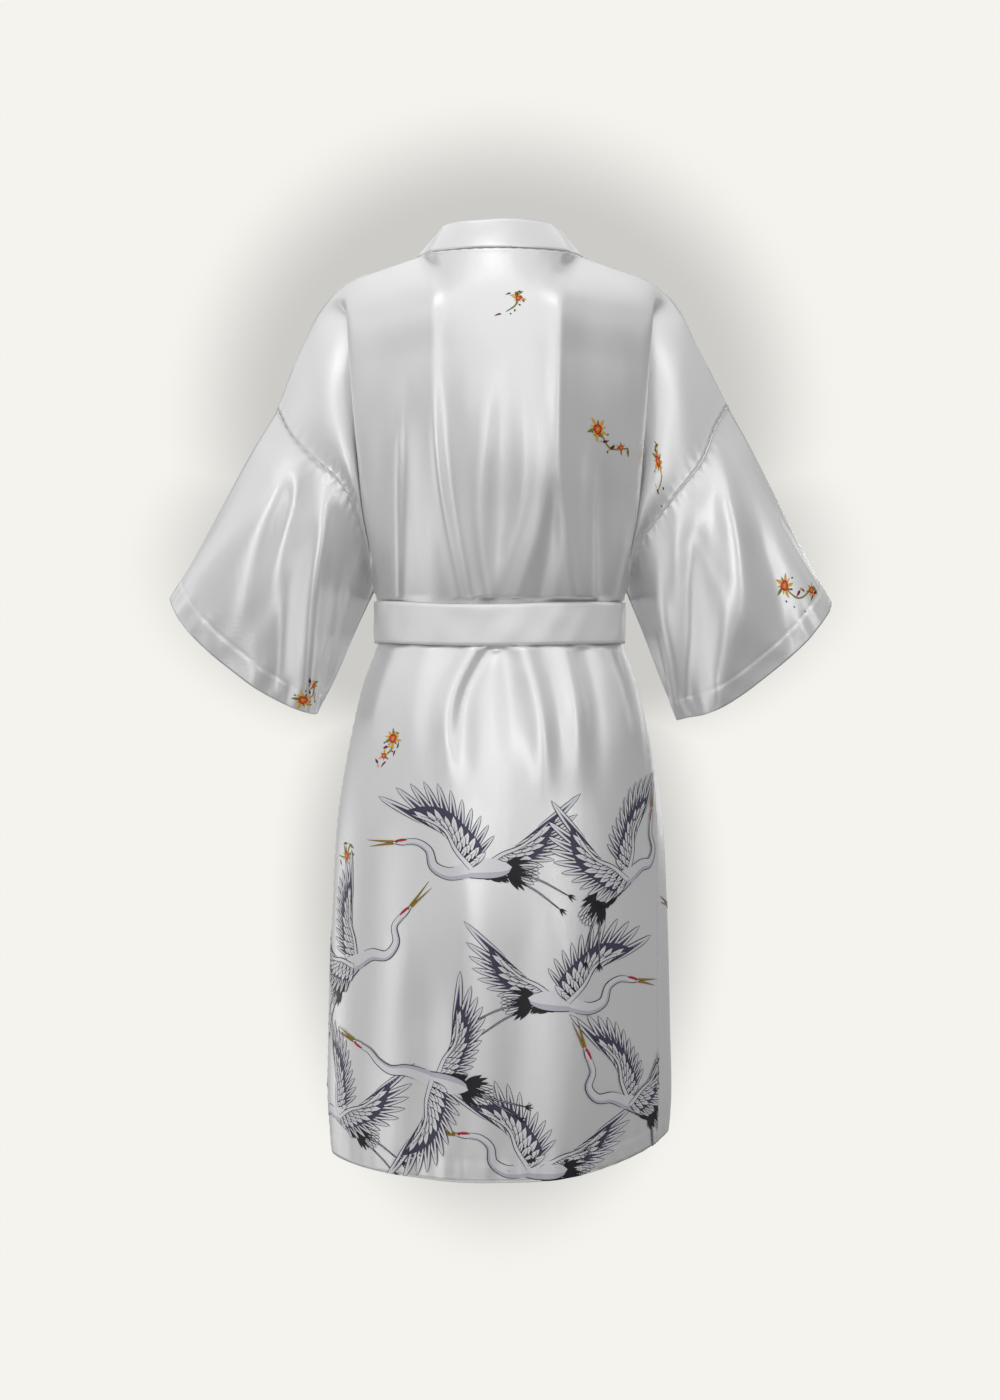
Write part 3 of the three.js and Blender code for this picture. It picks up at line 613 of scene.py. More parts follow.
def welt_grid(side):
    """The armhole seam's welt: a thin round roll along the armhole ring, a little way out of it."""
    ring = armhole_ring(side, GRID["sleeve"][0])
    wide = np.concatenate([ring[-1:], ring, ring[:1]])
    along = unit(np.gradient(wide, axis=0)[1:-1])
    out = unit(ring - ring.mean(axis=0))
    side_way = np.cross(along, out)
    turn = np.linspace(0, 2 * np.pi, WELT["sides"] + 1)[:, None, None]
    return ring + WELT["out"] * out + WELT["radius"] * (np.cos(turn) * out + np.sin(turn) * side_way)


def band_half(side, share):
    """One half of the neckband from the nape to the hem; share runs from 0 at the seam to 1 at the free edge. On
    the neck it stands on the seam, and down the front it lies in the front's face."""
    way = SIDES[side]
    mirror = np.array([way, 1, 1])
    rows = BAND_ROWS
    rest = GRID["band"][1] // 2 - rows["neck"] - rows["turn"]
    s_neck = np.linspace(0, NECK_SHARE, rows["neck"], endpoint=False)
    turn = s_neck / NECK_SHARE * math.pi / 2
    base = BACK.smooth_points(way * s_neck[None], np.array([0.0]))[0]
    stand = unit(lerp(STAND_BACK, STAND_SIDE, (np.sin(turn) ** 2)[:, None])) * mirror
    reach = lerp(0.5, BAND_WIDTH, share)
    neck = base[:, None] + stand[:, None] * reach[None, :, None]
    drops = np.concatenate([np.linspace(0, rows["turn_drop"], rows["turn"], endpoint=False),
                            np.linspace(rows["turn_drop"], BACK_LENGTH, rest)])
    edge = front_edge(drops)[:, None]
    pair = side_front_points(side, np.concatenate([edge - 0.05, edge], 1), drops)
    per_share = np.linalg.norm(pair[:, 1] - pair[:, 0], axis=-1)[:, None] / 0.05
    flat = side_front_points(side, edge - reach[None] / per_share, drops)
    standing = pair[:, 1][:, None] + unit(STAND_SIDE) * mirror * reach[None, :, None]
    ahead = lerp(standing, flat, smooth(drops, 0, 95)[:, None, None])
    return np.concatenate([neck, ahead])


def band_grid():
    """The neckband: both halves in one, fuller in the middle of its width, with slow waves at the neck."""
    share = np.linspace(0, 1, GRID["band"][0])
    left = band_half("left", share)
    right = band_half("right", share)
    p = np.concatenate([right[:0:-1], left])
    for _ in range(BAND_PASSES):
        p[1:-1] += 0.5 * share[:, None] * ((p[:-2] + p[2:]) / 2 - p[1:-1])
    n = grid_normals(p)
    top = int(np.argmax(p[:, 0, 1]))
    n = n if n[top, len(share) // 2, 1] > 0 else -n
    along = arc_lengths(p, 0)
    full = 0.9 * np.sin(np.pi * share) ** 0.6 + 0.25
    wave = 0.6 * np.sin(along / 15 + 2.5 * share) * share + 0.2 * np.sin(along / 7.3 - 3 * share) * share ** 2
    below_belt = BELT["top"] + BELT["width"] + 10
    lapped = (np.arange(len(p)) >= len(right))[:, None] * smooth(-p[..., 2], below_belt, below_belt + 55)
    return p + n * (full + wave - LAP_SINK * share ** 2 * lapped)[..., None]


def belt_grid():
    """The belt: the waist's superellipse, a little out, dipping at the back, with soft creases along it."""
    around, across = GRID["belt"]
    angle = np.linspace(0, 360, around, endpoint=False)
    w = np.linspace(0, 1, across)[:, None]
    out = BELT["clear"] + BAND_WALL + 0.6 * np.sin(np.pi * w) ** 0.5
    slack = 1.2 * np.exp(-(((w - 0.05) / 0.2) ** 2)) * np.sin(np.radians(angle * 5) + 1)
    slack += 0.5 * np.sin(np.radians(angle * 11) + 4 * w) + 0.35 * np.sin(np.radians(angle * 23) - 5 * w)
    out = out + np.maximum(slack, -0.7) * 0.8
    drop = BELT["top"] + BELT["width"] * w + 0.9 * np.sin(np.radians(angle * 4) + 0.6) * (0.4 + 0.6 * (1 - w))
    p = section_point(WAIST["half"] + out, WAIST["back"] + out, WAIST["front"] + out, drop, angle)
    behind = np.cos(np.radians(angle)) > 0
    p[..., 2] -= np.where(behind, BELT["dip"] * np.cos(np.radians(angle)) ** 2, 0)
    return p


def grid_quads(rows, columns, ring=False):
    """Corner numbers of a grid's faces, across x down; a ring's last column is joined to its first."""
    index = np.arange(rows * columns).reshape(rows, columns)
    if ring:
        index = np.concatenate([index, index[:, :1]], axis=1)
    return np.stack([index[:-1, :-1], index[:-1, 1:], index[1:, 1:], index[1:, :-1]], axis=-1).reshape(-1, 4)


def link_object(name, data):
    """A new object of some data, in the scene."""
    obj = bpy.data.objects.new(name, data)
    bpy.context.collection.objects.link(obj)
    return obj


def mesh_from_grid(name, p, ring=False):
    """A mesh object of a grid in millimetres, with a UV map in the cloth's own metres."""
    rows, columns = p.shape[:2]
    quads = grid_quads(rows, columns, ring)
    mesh = bpy.data.meshes.new(name)
    mesh.from_pydata((p.reshape(-1, 3) * MM).tolist(), [], quads.tolist())
    closed = np.concatenate([p, p[:, :1]], axis=1) if ring else p
    across = arc_lengths(closed, 1)
    across = np.median(across, axis=0)[None].repeat(rows, 0)
    down = np.median(arc_lengths(closed, 0), axis=1)[:, None].repeat(across.shape[1], 1)
    uv = np.stack([across, down], axis=-1) * MM
    corner = np.stack([uv[:-1, :-1], uv[:-1, 1:], uv[1:, 1:], uv[1:, :-1]], axis=-2).reshape(-1, 2)
    layer = mesh.uv_layers.new(name="Cloth")
    layer.data.foreach_set("uv", corner.ravel())
    mesh.polygons.foreach_set("use_smooth", np.ones(len(quads), bool))
    return link_object(name, mesh)


def face_outward(obj, probe, direction):
    """Turns all faces round unless those nearest the point probe look along direction."""
    mesh = obj.data
    centres = np.empty(len(mesh.polygons) * 3)
    normals = np.empty(len(mesh.polygons) * 3)
    mesh.polygons.foreach_get("center", centres)
    mesh.polygons.foreach_get("normal", normals)
    away = np.linalg.norm(centres.reshape(-1, 3) - np.array(probe) * MM, axis=1)
    near = np.argsort(away)[:20]
    if normals.reshape(-1, 3)[near].mean(axis=0) @ np.array(direction, float) < 0:
        mesh.flip_normals()


def set_inputs(tree, node, inputs):
    """Sets a node's inputs, or links those whose value is a socket."""
    for key, value in inputs.items():
        if isinstance(value, bpy.types.NodeSocket):
            tree.links.new(value, node.inputs[key])
        else:
            node.inputs[key].default_value = value


def add_node(tree, kind, inputs=None, **settings):
    """A new node with its settings and inputs."""
    node = tree.nodes.new("ShaderNode" + kind)
    for key, value in settings.items():
        setattr(node, key, value)
    set_inputs(tree, node, inputs or {})
    return node


def new_material(name):
    """A node material, its tree and its Principled shader."""
    material = bpy.data.materials.new(name)
    material.use_nodes = True
    return material, material.node_tree, material.node_tree.nodes["Principled BSDF"]


def scaled_noise(tree, coordinate, scale, stretch, detail=2.0):
    """A noise value on a coordinate, stretched."""
    place = add_node(tree, "Mapping", {"Vector": coordinate, "Scale": stretch}).outputs["Vector"]
    return add_node(tree, "TexNoise", {"Vector": place, "Scale": scale, "Detail": detail}).outputs["Fac"]


def mapped(tree, value, low, high, to_low=0, to_high=1, **settings):
    """value carried from low..high to to_low..to_high."""
    inputs = {"Value": value, "From Min": low, "From Max": high, "To Min": to_low, "To Max": to_high}
    return add_node(tree, "MapRange", inputs, **settings).outputs["Result"]


def ramp(tree, value, stops, interpolation="LINEAR"):
    """A colour ramp over value, with stops as (place, colour)."""
    node = add_node(tree, "ValToRGB", {"Fac": value})
    node.color_ramp.interpolation = interpolation
    elements = node.color_ramp.elements
    while len(elements) < len(stops):
        elements.new(0.5)
    for element, (place, colour) in zip(elements, stops):
        element.position = place
        element.color = (*colour, 1)
    return node.outputs["Color"]


def satin(name, colour, gloss, roughness, weave=0.1):
    """Satin: pale yarn with a metal-like share of gloss; long floats of the weave as a fine bump along the cloth,
    a slow unevenness of tone and roughness, and shallow soft creases that are too small for the mesh."""
    material, tree, shader = new_material(name)
    coordinate = add_node(tree, "TexCoord")
    place = coordinate.outputs["Object"]
    tone = scaled_noise(tree, place, 9.0, (1, 1, 0.35))
    sheen = scaled_noise(tree, place, 26.0, (1, 1, 0.3))
    crease = scaled_noise(tree, place, 16.0, (1, 1, 0.28), 3.0)
    yarn = add_node(tree, "TexWave", {"Vector": coordinate.outputs["UV"], "Scale": 420.0, "Distortion": 1.5,
                                      "Detail": 1.0}, wave_type="BANDS", bands_direction="DIAGONAL")
    fine = add_node(tree, "Bump", {"Height": yarn.outputs["Fac"], "Strength": weave, "Distance": 0.0004})
    broad = add_node(tree, "Bump", {"Height": crease, "Normal": fine.outputs["Normal"], "Strength": 0.35,
                                    "Distance": 0.004})
    set_inputs(tree, shader, {
        "Base Color": ramp(tree, tone, [(0.3, [c * 0.965 for c in colour]), (0.75, colour)]),
        "Metallic": gloss,
        "Roughness": mapped(tree, sheen, 0.3, 0.7, roughness - 0.025, roughness + 0.035),
        "Normal": broad.outputs["Normal"],
        "Specular IOR Level": 0.6,
        "Anisotropic": 0.35,
        "Sheen Weight": 0.12,
        "Sheen Roughness": 0.4,
    })
    return material


def srgb(*levels):
    """A linear colour of 0-255 screen levels."""
    return tuple(((c / 255 + 0.055) / 1.055) ** 2.4 for c in levels)


def get_material(name):
    """One of the robe's cloths, made on first use."""
    if name in bpy.data.materials:
        return bpy.data.materials[name]
    look = bpy.context.scene.robe_cloth
    tint, *finish = {
        "Robe_satin": (1, look.gloss, look.roughness),
        "Robe_satin_reverse": (0.93, 0.08, 0.5, 0.2),
        # The belt is the robe's satin painted 9% lighter, a painted highlight standing in for the brighter light
        # the belt catches
        "Belt_satin": (1.09, look.gloss * 0.55, look.roughness + 0.1),
    }[name]
    return satin(name, [c * tint for c in look.colour], *finish)


def add_piece(obj, node,
              walls=("Robe_satin", "Robe_satin_reverse"), thickness=CLOTH_WALL):
    """Finishes a cloth piece: its materials, its wall inwards with the reverse in the second material, the frame's
    part of the same name hidden, and the piece hung on the root."""
    for wall in walls:
        obj.data.materials.append(get_material(wall))
    if thickness:
        wall = obj.modifiers.new("Wall", "SOLIDIFY")
        wall.thickness = thickness * MM
        wall.offset = -1
        wall.material_offset = 1
    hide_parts(node)
    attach(obj, "root")


def knot_grid():
    """The knot: a superquadric of power 0.7, pleated across by waves that run towards its middle."""
    u = np.linspace(0, 2 * np.pi, GRID["knot"][0], endpoint=False)
    v = np.linspace(-np.pi / 2, np.pi / 2, GRID["knot"][1])[:, None]
    cu, su = signed_power(np.cos(u), KNOT["power"]), signed_power(np.sin(u), KNOT["power"])
    cv, sv = np.abs(np.cos(v)) ** KNOT["power"], signed_power(np.sin(v), KNOT["power"])
    x, y, z = KNOT["width"] / 2 * cu * cv, KNOT["depth"] / 2 * su * cv, KNOT["height"] / 2 * sv + 0 * u
    lap = 1 - 0.10 * np.exp(-(((x - 6 - 0.25 * z) / 3.2) ** 2)) - 0.05 * np.exp(-(((x + 11 + 0.3 * z) / 4.0) ** 2))
    pleat = 1 + 0.018 * np.sin(x / 1.9 + 0.25 * z) * (np.abs(z) < KNOT["height"] * 0.46)
    waist = 1 - 0.10 * np.exp(-((z / 9.0) ** 2)) * (np.abs(x) > KNOT["width"] * 0.3)
    y = y * lap * pleat
    return np.stack([x * waist + KNOT["side"], y + KNOT_Y, z * lap + KNOT_Z], axis=-1)


def tail_grid(side):
    """A tail: a strip that leaves the knot, falls in front of the skirt and splays out a little, with soft folds
    along it that grow weaker downwards, and a slanting end."""
    way = SIDES[side]
    length = TAIL_LENGTH[side]
    share = np.linspace(0, 1, GRID["tail"][1])[:, None]
    across = np.linspace(-1, 1, GRID["tail"][0])[None]
    drop = -TAIL["top"] + length * share
    front = table_value(SKIRT_ROWS, "drop", "front", np.minimum(drop, BACK_LENGTH))
    y = lerp(-(abs(KNOT_Y) - 3), -(front + TAIL["off_skirt"]), smooth(share, 0, 0.25)) + way * 1.5
    half = lerp(TAIL["half_top"], TAIL["half_foot"], smooth(share, 0, 0.3))
    middle = KNOT["side"] + way * (TAIL["spread"] + TAIL["splay"] * share ** 0.8)
    gather = np.exp(-((share / 0.28) ** 2))
    fold = 2.6 * gather * np.cos(across * 5.2 + 0.4 * way) + 1.6 * np.sin(across * 1.7 + 5 * share * way)
    fold = fold + 1.2 * np.sin(9 * share + way) * across
    x = middle + across * half + 1.5 * np.sin(6 * share + way)
    z = -drop + 7 * across * way * smooth(share, 0.9, 1.0)
    return np.stack(np.broadcast_arrays(x, y - fold * 0.8, z), axis=-1)


def heading(degrees):
    """Unit vector of an angle."""
    return np.array([math.cos(math.radians(degrees)), math.sin(math.radians(degrees))])


def across(path):
    """Unit vectors square to a path, to its left."""
    step = unit(np.gradient(path, axis=0))
    return np.stack([-step[:, 1], step[:, 0]], axis=1)


def through(points, count):
    """A cubic through points, even in the way along them."""
    points = np.array(points, float)
    knots = np.concatenate([[0], np.cumsum(np.linalg.norm(np.diff(points, axis=0), axis=1))])
    return spline_weights(knots, np.linspace(0, knots[-1], count)) @ points


def bent_line(root, angle, length, bow, t):
    """Points from root along an angle at shares t, bent sideways by bow t^2, and the unit vector to that side."""
    ahead = heading(angle)
    side = np.array([-ahead[1], ahead[0]])
    return np.asarray(root) + t[:, None] * length * ahead + (bow * length * t * t)[:, None] * side, side


class Drawing:
    """A flat drawing as strips: each an ink, a layer and the points of its two edges, in millimetres."""

    def __init__(self):
        self.strips = []

    def strip(self, ink, layer, left, right):
        """Adds a strip between two edges with as many points each."""
        self.strips.append((ink, layer, np.asarray(left, float), np.asarray(right, float)))

    def line(self, ink, layer, path, width=LINE, ends=(0.35, 0.35)):
        """A stroke whose width runs from one end share through 1 to the other, as sin(pi t)."""
        path = np.asarray(path, float)
        t = np.linspace(0, 1, len(path))
        share = lerp(lerp(ends[0], ends[1], t), 1, np.sin(np.pi * t) ** 0.7)
        side = across(path) * (width / 2 * share)[:, None]
        self.strip(ink, layer, path + side, path - side)

    def leaf(self, ink, layer, root, angle, length, half, bow=0.0, count=7):
        """A pointed leaf: half width half sin(pi t^0.8), its middle line bent by bow t^2."""
        t = np.linspace(0, 1, count)
        middle, side = bent_line(root, angle, length, bow, t)
        wide = (half * np.sin(np.pi * t ** 0.8) ** 0.9)[:, None] * side
        self.strip(ink, layer, middle + wide, middle - wide)

    def feather(self, layer, root, angle, length, half, bow, shades=(), free=0.0, count=10, width=LINE):
        """A flight feather: half width rises over its first half and rounds off as (1 - t^3.5)^0.6; shades are
        (ink, reach, share) wedges at its root; one edge is drawn whole, the other from free on."""
        t = np.linspace(0, 1, count) ** 0.85
        middle, side = bent_line(root, angle, length, bow, t)
        wide = half * (0.45 + 0.55 * smooth(t, 0, 0.5)) * (1 - t ** 3.5) ** 0.6
        left = middle + wide[:, None] * side
        right = middle - wide[:, None] * side
        self.strip("white", layer, left, right)
        for n, (ink, reach, share) in enumerate(shades):
            cut = np.linspace(0, reach, 6)
            spine = np.stack([np.interp(cut, t, middle[:, k]) for k in (0, 1)], axis=1)
            thin = (np.interp(cut, t, wide) * share * (1 - (cut / reach) ** 1.6))[:, None] * side
            self.strip(ink, layer + 1 + n, spine + thin, spine - thin)
        top = layer + 1 + len(shades)
        start = int(free * (count - 1))
        self.line("dark", top, left, width)
        self.line("dark", top, right[start:], width)
        if shades:
            self.line("dark", top, middle[:int(count * 0.6)], width * 0.8, (1, 0.1))

    def wing(self, layer, shoulder, arm, reach, first, last, longest, shortest, count=11):
        """A wing: feathers fan out from the arm, first to last, under two rows of coverts and a row of scales."""
        shoulder = np.array(shoulder, float)
        wrist = shoulder + reach * heading(arm)
        turn = 1 if last > first else -1
        f = np.linspace(0, 1, count)
        angles = lerp(first, last, f ** 0.85)
        lengths = lerp(longest, shortest, f ** 0.75) * (1 + 0.035 * np.sin(5.1 * np.arange(count)))
        roots = wrist + (shoulder - wrist) * (f ** 1.15)[:, None] * 0.92
        for k in range(count):
            self.feather(layer, roots[k], angles[k], lengths[k], lerp(4.9, 3.4, f[k]), -0.07 * turn,
                         (("pale", 0.97, 1.0), ("slate", 0.82, 1.0)), 0.35, 12)
        inner = roots + (lengths * 0.56)[:, None] * np.stack([heading(a) for a in angles])
        self.strip("slate", layer + 4, roots, inner)
        for row, (share, half, shade) in enumerate(((0.47, 4.1, 0.55), (0.32, 3.6, 0.6), (0.19, 3.0, 0.5))):
            number = count - 1 - row
            g = np.linspace(0.02, 1.0, number)
            row_angles = np.interp(g, f, angles) + 4 * turn
            row_lengths = np.interp(g, f, lengths) * share + 3
            row_roots = wrist + (shoulder - wrist) * g[:, None]
            base = layer + 5 + 4 * row
            if row:
                edge = row_roots + (row_lengths * 0.9)[:, None] * np.stack([heading(a) for a in row_angles])
                self.strip("dark", base - 1, row_roots, lerp(row_roots, edge, 0.86))
            for k in range(number):
                uneven = 1 + 0.08 * math.sin(3.7 * k + row)
                self.feather(base, row_roots[k], row_angles[k], row_lengths[k] * uneven,
                             half, -0.05 * turn, (("pale", 0.85, 0.6), ("dark", shade, 0.5))[:2 - (row == 2)],
                             0.2, 7, LINE * 0.85)
        edge = through([shoulder - 3 * heading(arm), lerp(shoulder, wrist, 0.55) - turn * 2.5 * heading(arm + 90),
                        wrist, wrist + longest * 0.5 * heading(first) - turn * 2.2 * heading(first + 90)], 18)
        t = np.linspace(0, 1, 18)
        depth = (turn * 5.2 * (1 - t) ** 0.6)[:, None]
        self.strip("white", layer + 16, edge, edge + depth * across(edge))
        self.line("dark", layer + 17, edge, LINE * 1.1)
        self.line("dark", layer + 17, (edge + depth * across(edge))[:12], LINE * 0.8)

    def crane(self, pose):
        """A crane that flies towards +x: far wing, tail and legs, body and neck, then the near wing."""
        self.wing(0, *pose["far"])
        rump = np.array([-33.0, -6.0])
        tail = pose["tail"]
        for k, spread in enumerate(np.linspace(-20, 20, 6)):
            self.feather(6, rump, tail + spread, 33 - abs(spread) * 0.12, 3.9, 0, (("pale", 0.7, 0.6),), 0.4, 8)
        for k, foot in enumerate(pose["feet"]):
            foot = np.array(foot, float)
            knee = lerp(rump, foot, 0.45) + np.array([0, 2.5 - 4 * k])
            leg = through([rump + [6, -3 - 3 * k], knee, foot], 14)
            self.line("dark", 10, leg, 2.2, (1, 0.5))
            self.line("pale", 11, leg[2:-1], 0.7, (0.2, 0.2))
            way = math.degrees(math.atan2(*(foot - knee)[::-1]))
            for toe in (-26, -4, 20):
                self.leaf("dark", 12, foot, way + toe, 11 - abs(toe) * 0.08, 0.95, 0.15)
        for k, spread in enumerate(np.linspace(-44, 34, 9)):
            root = rump + [5 - 0.2 * k, 5 - 1.4 * k]
            self.leaf("dark", 13, root, tail + spread, 24 + 5 * math.sin(2.2 * k), 2.7, 0.12)
        t = np.linspace(0, 1, 16)
        spine = np.stack([lerp(-36, 30, t), -4 + 8 * t + 3 * np.sin(np.pi * t)], axis=1)
        up = np.array([0, 1.0])
        over = spine + (9.5 * np.sin(np.pi * t ** 0.9) ** 0.7)[:, None] * up
        under = spine - (13 * np.sin(np.pi * t ** 0.75) ** 0.75)[:, None] * up
        for k in range(7):
            root = under[3 + k] + [0, 4]
            self.leaf("dark", 14, root, 250 - 6 * k, 13 + 3 * math.sin(2.7 * k), 2.5, -0.2)
        self.strip("white", 18, over, under)
        self.strip("pale", 19, lerp(over, under, 0.7), under)
        self.line("dark", 20, under, LINE * 1.1)
        neck = through([(10, 1.5), *pose["neck"]], 26)
        s = np.linspace(0, 1, 26)
        half = (lerp(7.4, 3.3, smooth(s, 0.05, 0.95) ** 0.8))[:, None]
        left, right = neck + half * across(neck), neck - half * across(neck)
        self.strip("white", 21, left, right)
        self.strip("pale", 22, lerp(left, right, 0.7), right)
        self.line("dark", 23, left[4:], LINE * 1.1)
        self.line("dark", 23, right[2:], LINE * 1.1)
        self.head(21, neck[-1], math.degrees(math.atan2(*(neck[-1] - neck[-3])[::-1])), pose["crown"])
        self.wing(25, *pose["near"])

    def head(self, layer, root, angle, crown):
        """A small oval head with its red crown on the side crown, an eye, and an open beak of two long wedges."""
        ahead = heading(angle)
        side = crown * np.array([-ahead[1], ahead[0]])
        t = np.linspace(0, 1, 10)
        middle = root - ahead + t[:, None] * 17 * ahead
        wide = (lerp(4.0, 2.0, t) * np.sin(np.pi * (0.12 + 0.82 * t)) ** 0.5)[:, None] * side
        self.strip("white", layer, middle + wide, middle - wide)
        self.line("dark", layer + 2, middle + wide)
        self.line("dark", layer + 2, middle - wide)
        cap = middle + wide * 0.75
        bulge = (2.1 * np.sin(np.pi * t) ** 0.8)[:, None] * side
        self.strip("red", layer + 3, cap + bulge * 0.5, cap - bulge * 0.85)
        eye = root + 10.5 * ahead
        self.line("dark", layer + 3, [eye, eye + 1.0 * ahead, eye + 2.0 * ahead], 1.7, (0.6, 0.6))
        base = root + 15.5 * ahead
        for tilt, length in ((6.5, 35), (-6.0, 32)):
            tip = base + length * heading(angle + crown * tilt)
            blade = through([base + side * 0.12 * tilt, lerp(base, tip, 0.5) + side * 0.06 * tilt, tip], 9)
            thin = (lerp(1.65, 0.12, np.linspace(0, 1, 9)))[:, None] * side
            self.strip("gold", layer + 1, blade + thin, blade - thin)
            self.line("dark", layer + 2, blade - thin * np.sign(tilt) * 0.9, LINE * 0.45)

    def flower(self, layer, centre, radius, petals, turn):
        """Narrow petals round a ring of radius 0.46 r (1 + 0.1 sin 3a) with a lighter middle."""
        for k in range(2 * petals):
            angle = turn + 180 / petals * k
            size = radius * (0.95 + 0.25 * math.sin(2.9 * k + turn))
            self.leaf(("yellow", "olive", "yellow")[k % 3], layer, centre + 0.3 * radius * heading(angle), angle,
                      size, radius * (0.2, 0.14)[k % 2], 0.15)
        around = np.radians(np.linspace(0, 360, 25) + turn)
        ring = 0.46 * radius * (1 + 0.1 * np.sin(3 * around))[:, None]
        ring = centre + ring * np.stack([np.cos(around), np.sin(around)], axis=1)
        self.strip("orange", layer + 1, ring[:13], ring[:11:-1])
        self.line("red", layer + 2, ring, radius * 0.2, (1, 1))
        self.leaf("yellow", layer + 3, centre - radius * 0.22 * heading(turn), turn, radius * 0.44, radius * 0.13)

    def sprig(self, size, turn, flowers, seed):
        """A spray: a bent stem with a leaf, flowers given as (place along, radius, petals), buds and specks."""
        draw = np.random.default_rng(seed)
        stem = through([size * heading(turn + 180) * 0.5, size * 0.2 * heading(turn - 84),
                        size * 0.5 * heading(turn + 12)], 16)
        self.line("olive", 0, stem, 1.6, (0.3, 1))
        self.leaf("olive", 1, stem[-1], turn - 70, 8, 1.5, 0.3)
        for place, radius, petals in flowers:
            self.flower(3, stem[int(place * 15)] + draw.normal(0, 1.2, 2), radius, petals, draw.uniform(0, 90))
        for k in range(5):
            spot = stem[draw.integers(0, 16)] + draw.uniform(5, 9) * heading(draw.uniform(0, 360))
            angle = draw.uniform(0, 360)
            self.leaf("crimson", 1, spot, angle, draw.uniform(5, 8), 1.0, 0.5)
            if k % 2:
                self.leaf("crimson", 1, spot, angle + 48, draw.uniform(4, 6), 0.9, -0.4)
                self.leaf("yellow", 1, spot, angle + 170, 5, 0.8, 0.3)
        for k in range(4):
            spot = stem[draw.integers(0, 16)] + draw.uniform(8, 14) * heading(draw.uniform(0, 360))
            self.leaf("dark", 1, spot, draw.uniform(0, 360), draw.uniform(2, 3.4), 0.8)


POSES = {
    "sail": {"near": ((10, 5), 68, 44, 42, 150, 86, 42), "far": ((-8, 5), 164, 40, 157, 240, 88, 30), "tail": 204,
             "feet": ((-88, -46), (-76, -58)), "neck": ((34, 4), (46, 14), (48, 32), (60, 43), (70, 45)),
             "crown": 1},
    "spread": {"near": ((8, 6), 104, 42, 84, 176, 88, 40), "far": ((4, -5), 262, 38, 282, 196, 82, 34),
               "tail": 182, "feet": ((-100, -10), (-98, 4)),
               "neck": ((38, 5), (54, 12), (72, 10), (88, 4), (98, 4)), "crown": 1},
    "rise": {"near": ((8, 4), 128, 40, 112, 214, 84, 38), "far": ((14, 6), 58, 44, 34, 118, 84, 40), "tail": 214,
             "feet": ((-72, -62), (-58, -70)), "neck": ((34, 6), (52, 2), (66, 12), (66, 30), (74, 42)),
             "crown": 1},
    "turn": {"near": ((2, 4), 150, 42, 140, 232, 88, 34), "far": ((12, 6), 84, 42, 70, 150, 80, 44), "tail": 196,
             "feet": ((-92, -30), (-86, -46)), "neck": ((36, 2), (54, -6), (70, 2), (76, 20), (88, 26)),
             "crown": 1},
}
Crane = namedtuple("Crane", "panel pose x z turn size flip level")
# x runs to the viewer's right from the centre line along the cloth, z as the frame's, turn is anticlockwise as
# seen, and a crane that lies over others has level 1
CRANES = [
    Crane("back", "sail", -22, -636, 12, 0.95, -1, 0),
    Crane("back", "rise", 128, -650, 22, 0.92, 1, 1),
    Crane("back", "turn", -166, -738, 24, 0.92, 1, 0),
    Crane("back", "sail", 62, -770, -16, 0.94, 1, 0),
    Crane("back", "spread", -64, -848, 158, 0.92, 1, 1),
    Crane("back", "rise", 146, -884, -16, 0.92, -1, 1),
    Crane("back", "turn", -184, -900, -6, 0.9, -1, 0),
    Crane("back", "sail", 36, -940, 4, 0.92, -1, 0),
    Crane("front_left", "rise", 112, -640, 14, 0.92, 1, 0),
    Crane("front_left", "sail", 62, -762, 10, 0.94, -1, 0),
    Crane("front_left", "turn", 168, -818, 14, 0.9, 1, 1),
    Crane("front_left", "sail", 40, -894, -8, 0.94, 1, 0),
    Crane("front_right", "turn", -150, -690, 10, 0.92, -1, 0),
    Crane("front_right", "sail", -132, -846, -10, 0.94, 1, 0),
]
Sprig = namedtuple("Sprig", "panel x z turn size seed flowers")
SPRIGS = [
    Sprig("back", 12, -74, 60, 24, 3, ((0.9, 5, 4),)),
    Sprig("back", 126, -204, -30, 42, 5, ((0.05, 9, 5), (0.8, 5, 3))),
    Sprig("back", 230, -198, 100, 40, 8, ((0.75, 8.5, 5),)),
    Sprig("back", -122, -512, 55, 30, 11, ((0.8, 8, 5), (0.2, 5, 3))),
    Sprig("back", -186, -620, 20, 30, 14, ((0.6, 7, 4),)),
    Sprig("front_left", 96, -150, 50, 36, 17, ((0.3, 8.5, 5), (0.95, 5, 4))),
    Sprig("front_left", 70, -520, -30, 34, 20, ((0.2, 8, 5), (0.9, 5.5, 4))),
    Sprig("front_right", -100, -190, 120, 38, 23, ((0.2, 8.5, 5), (0.9, 6, 4))),
    Sprig("front_right", -128, -560, 30, 30, 26, ((0.6, 7.5, 5),)),
    Sprig("sleeve_left", 80, -192, 70, 32, 29, ((0.2, 8.5, 5), (0.9, 5, 3))),
    Sprig("sleeve_right", 78, -168, -48, 44, 32, ((0.1, 8.5, 5), (0.9, 5.5, 3))),
]


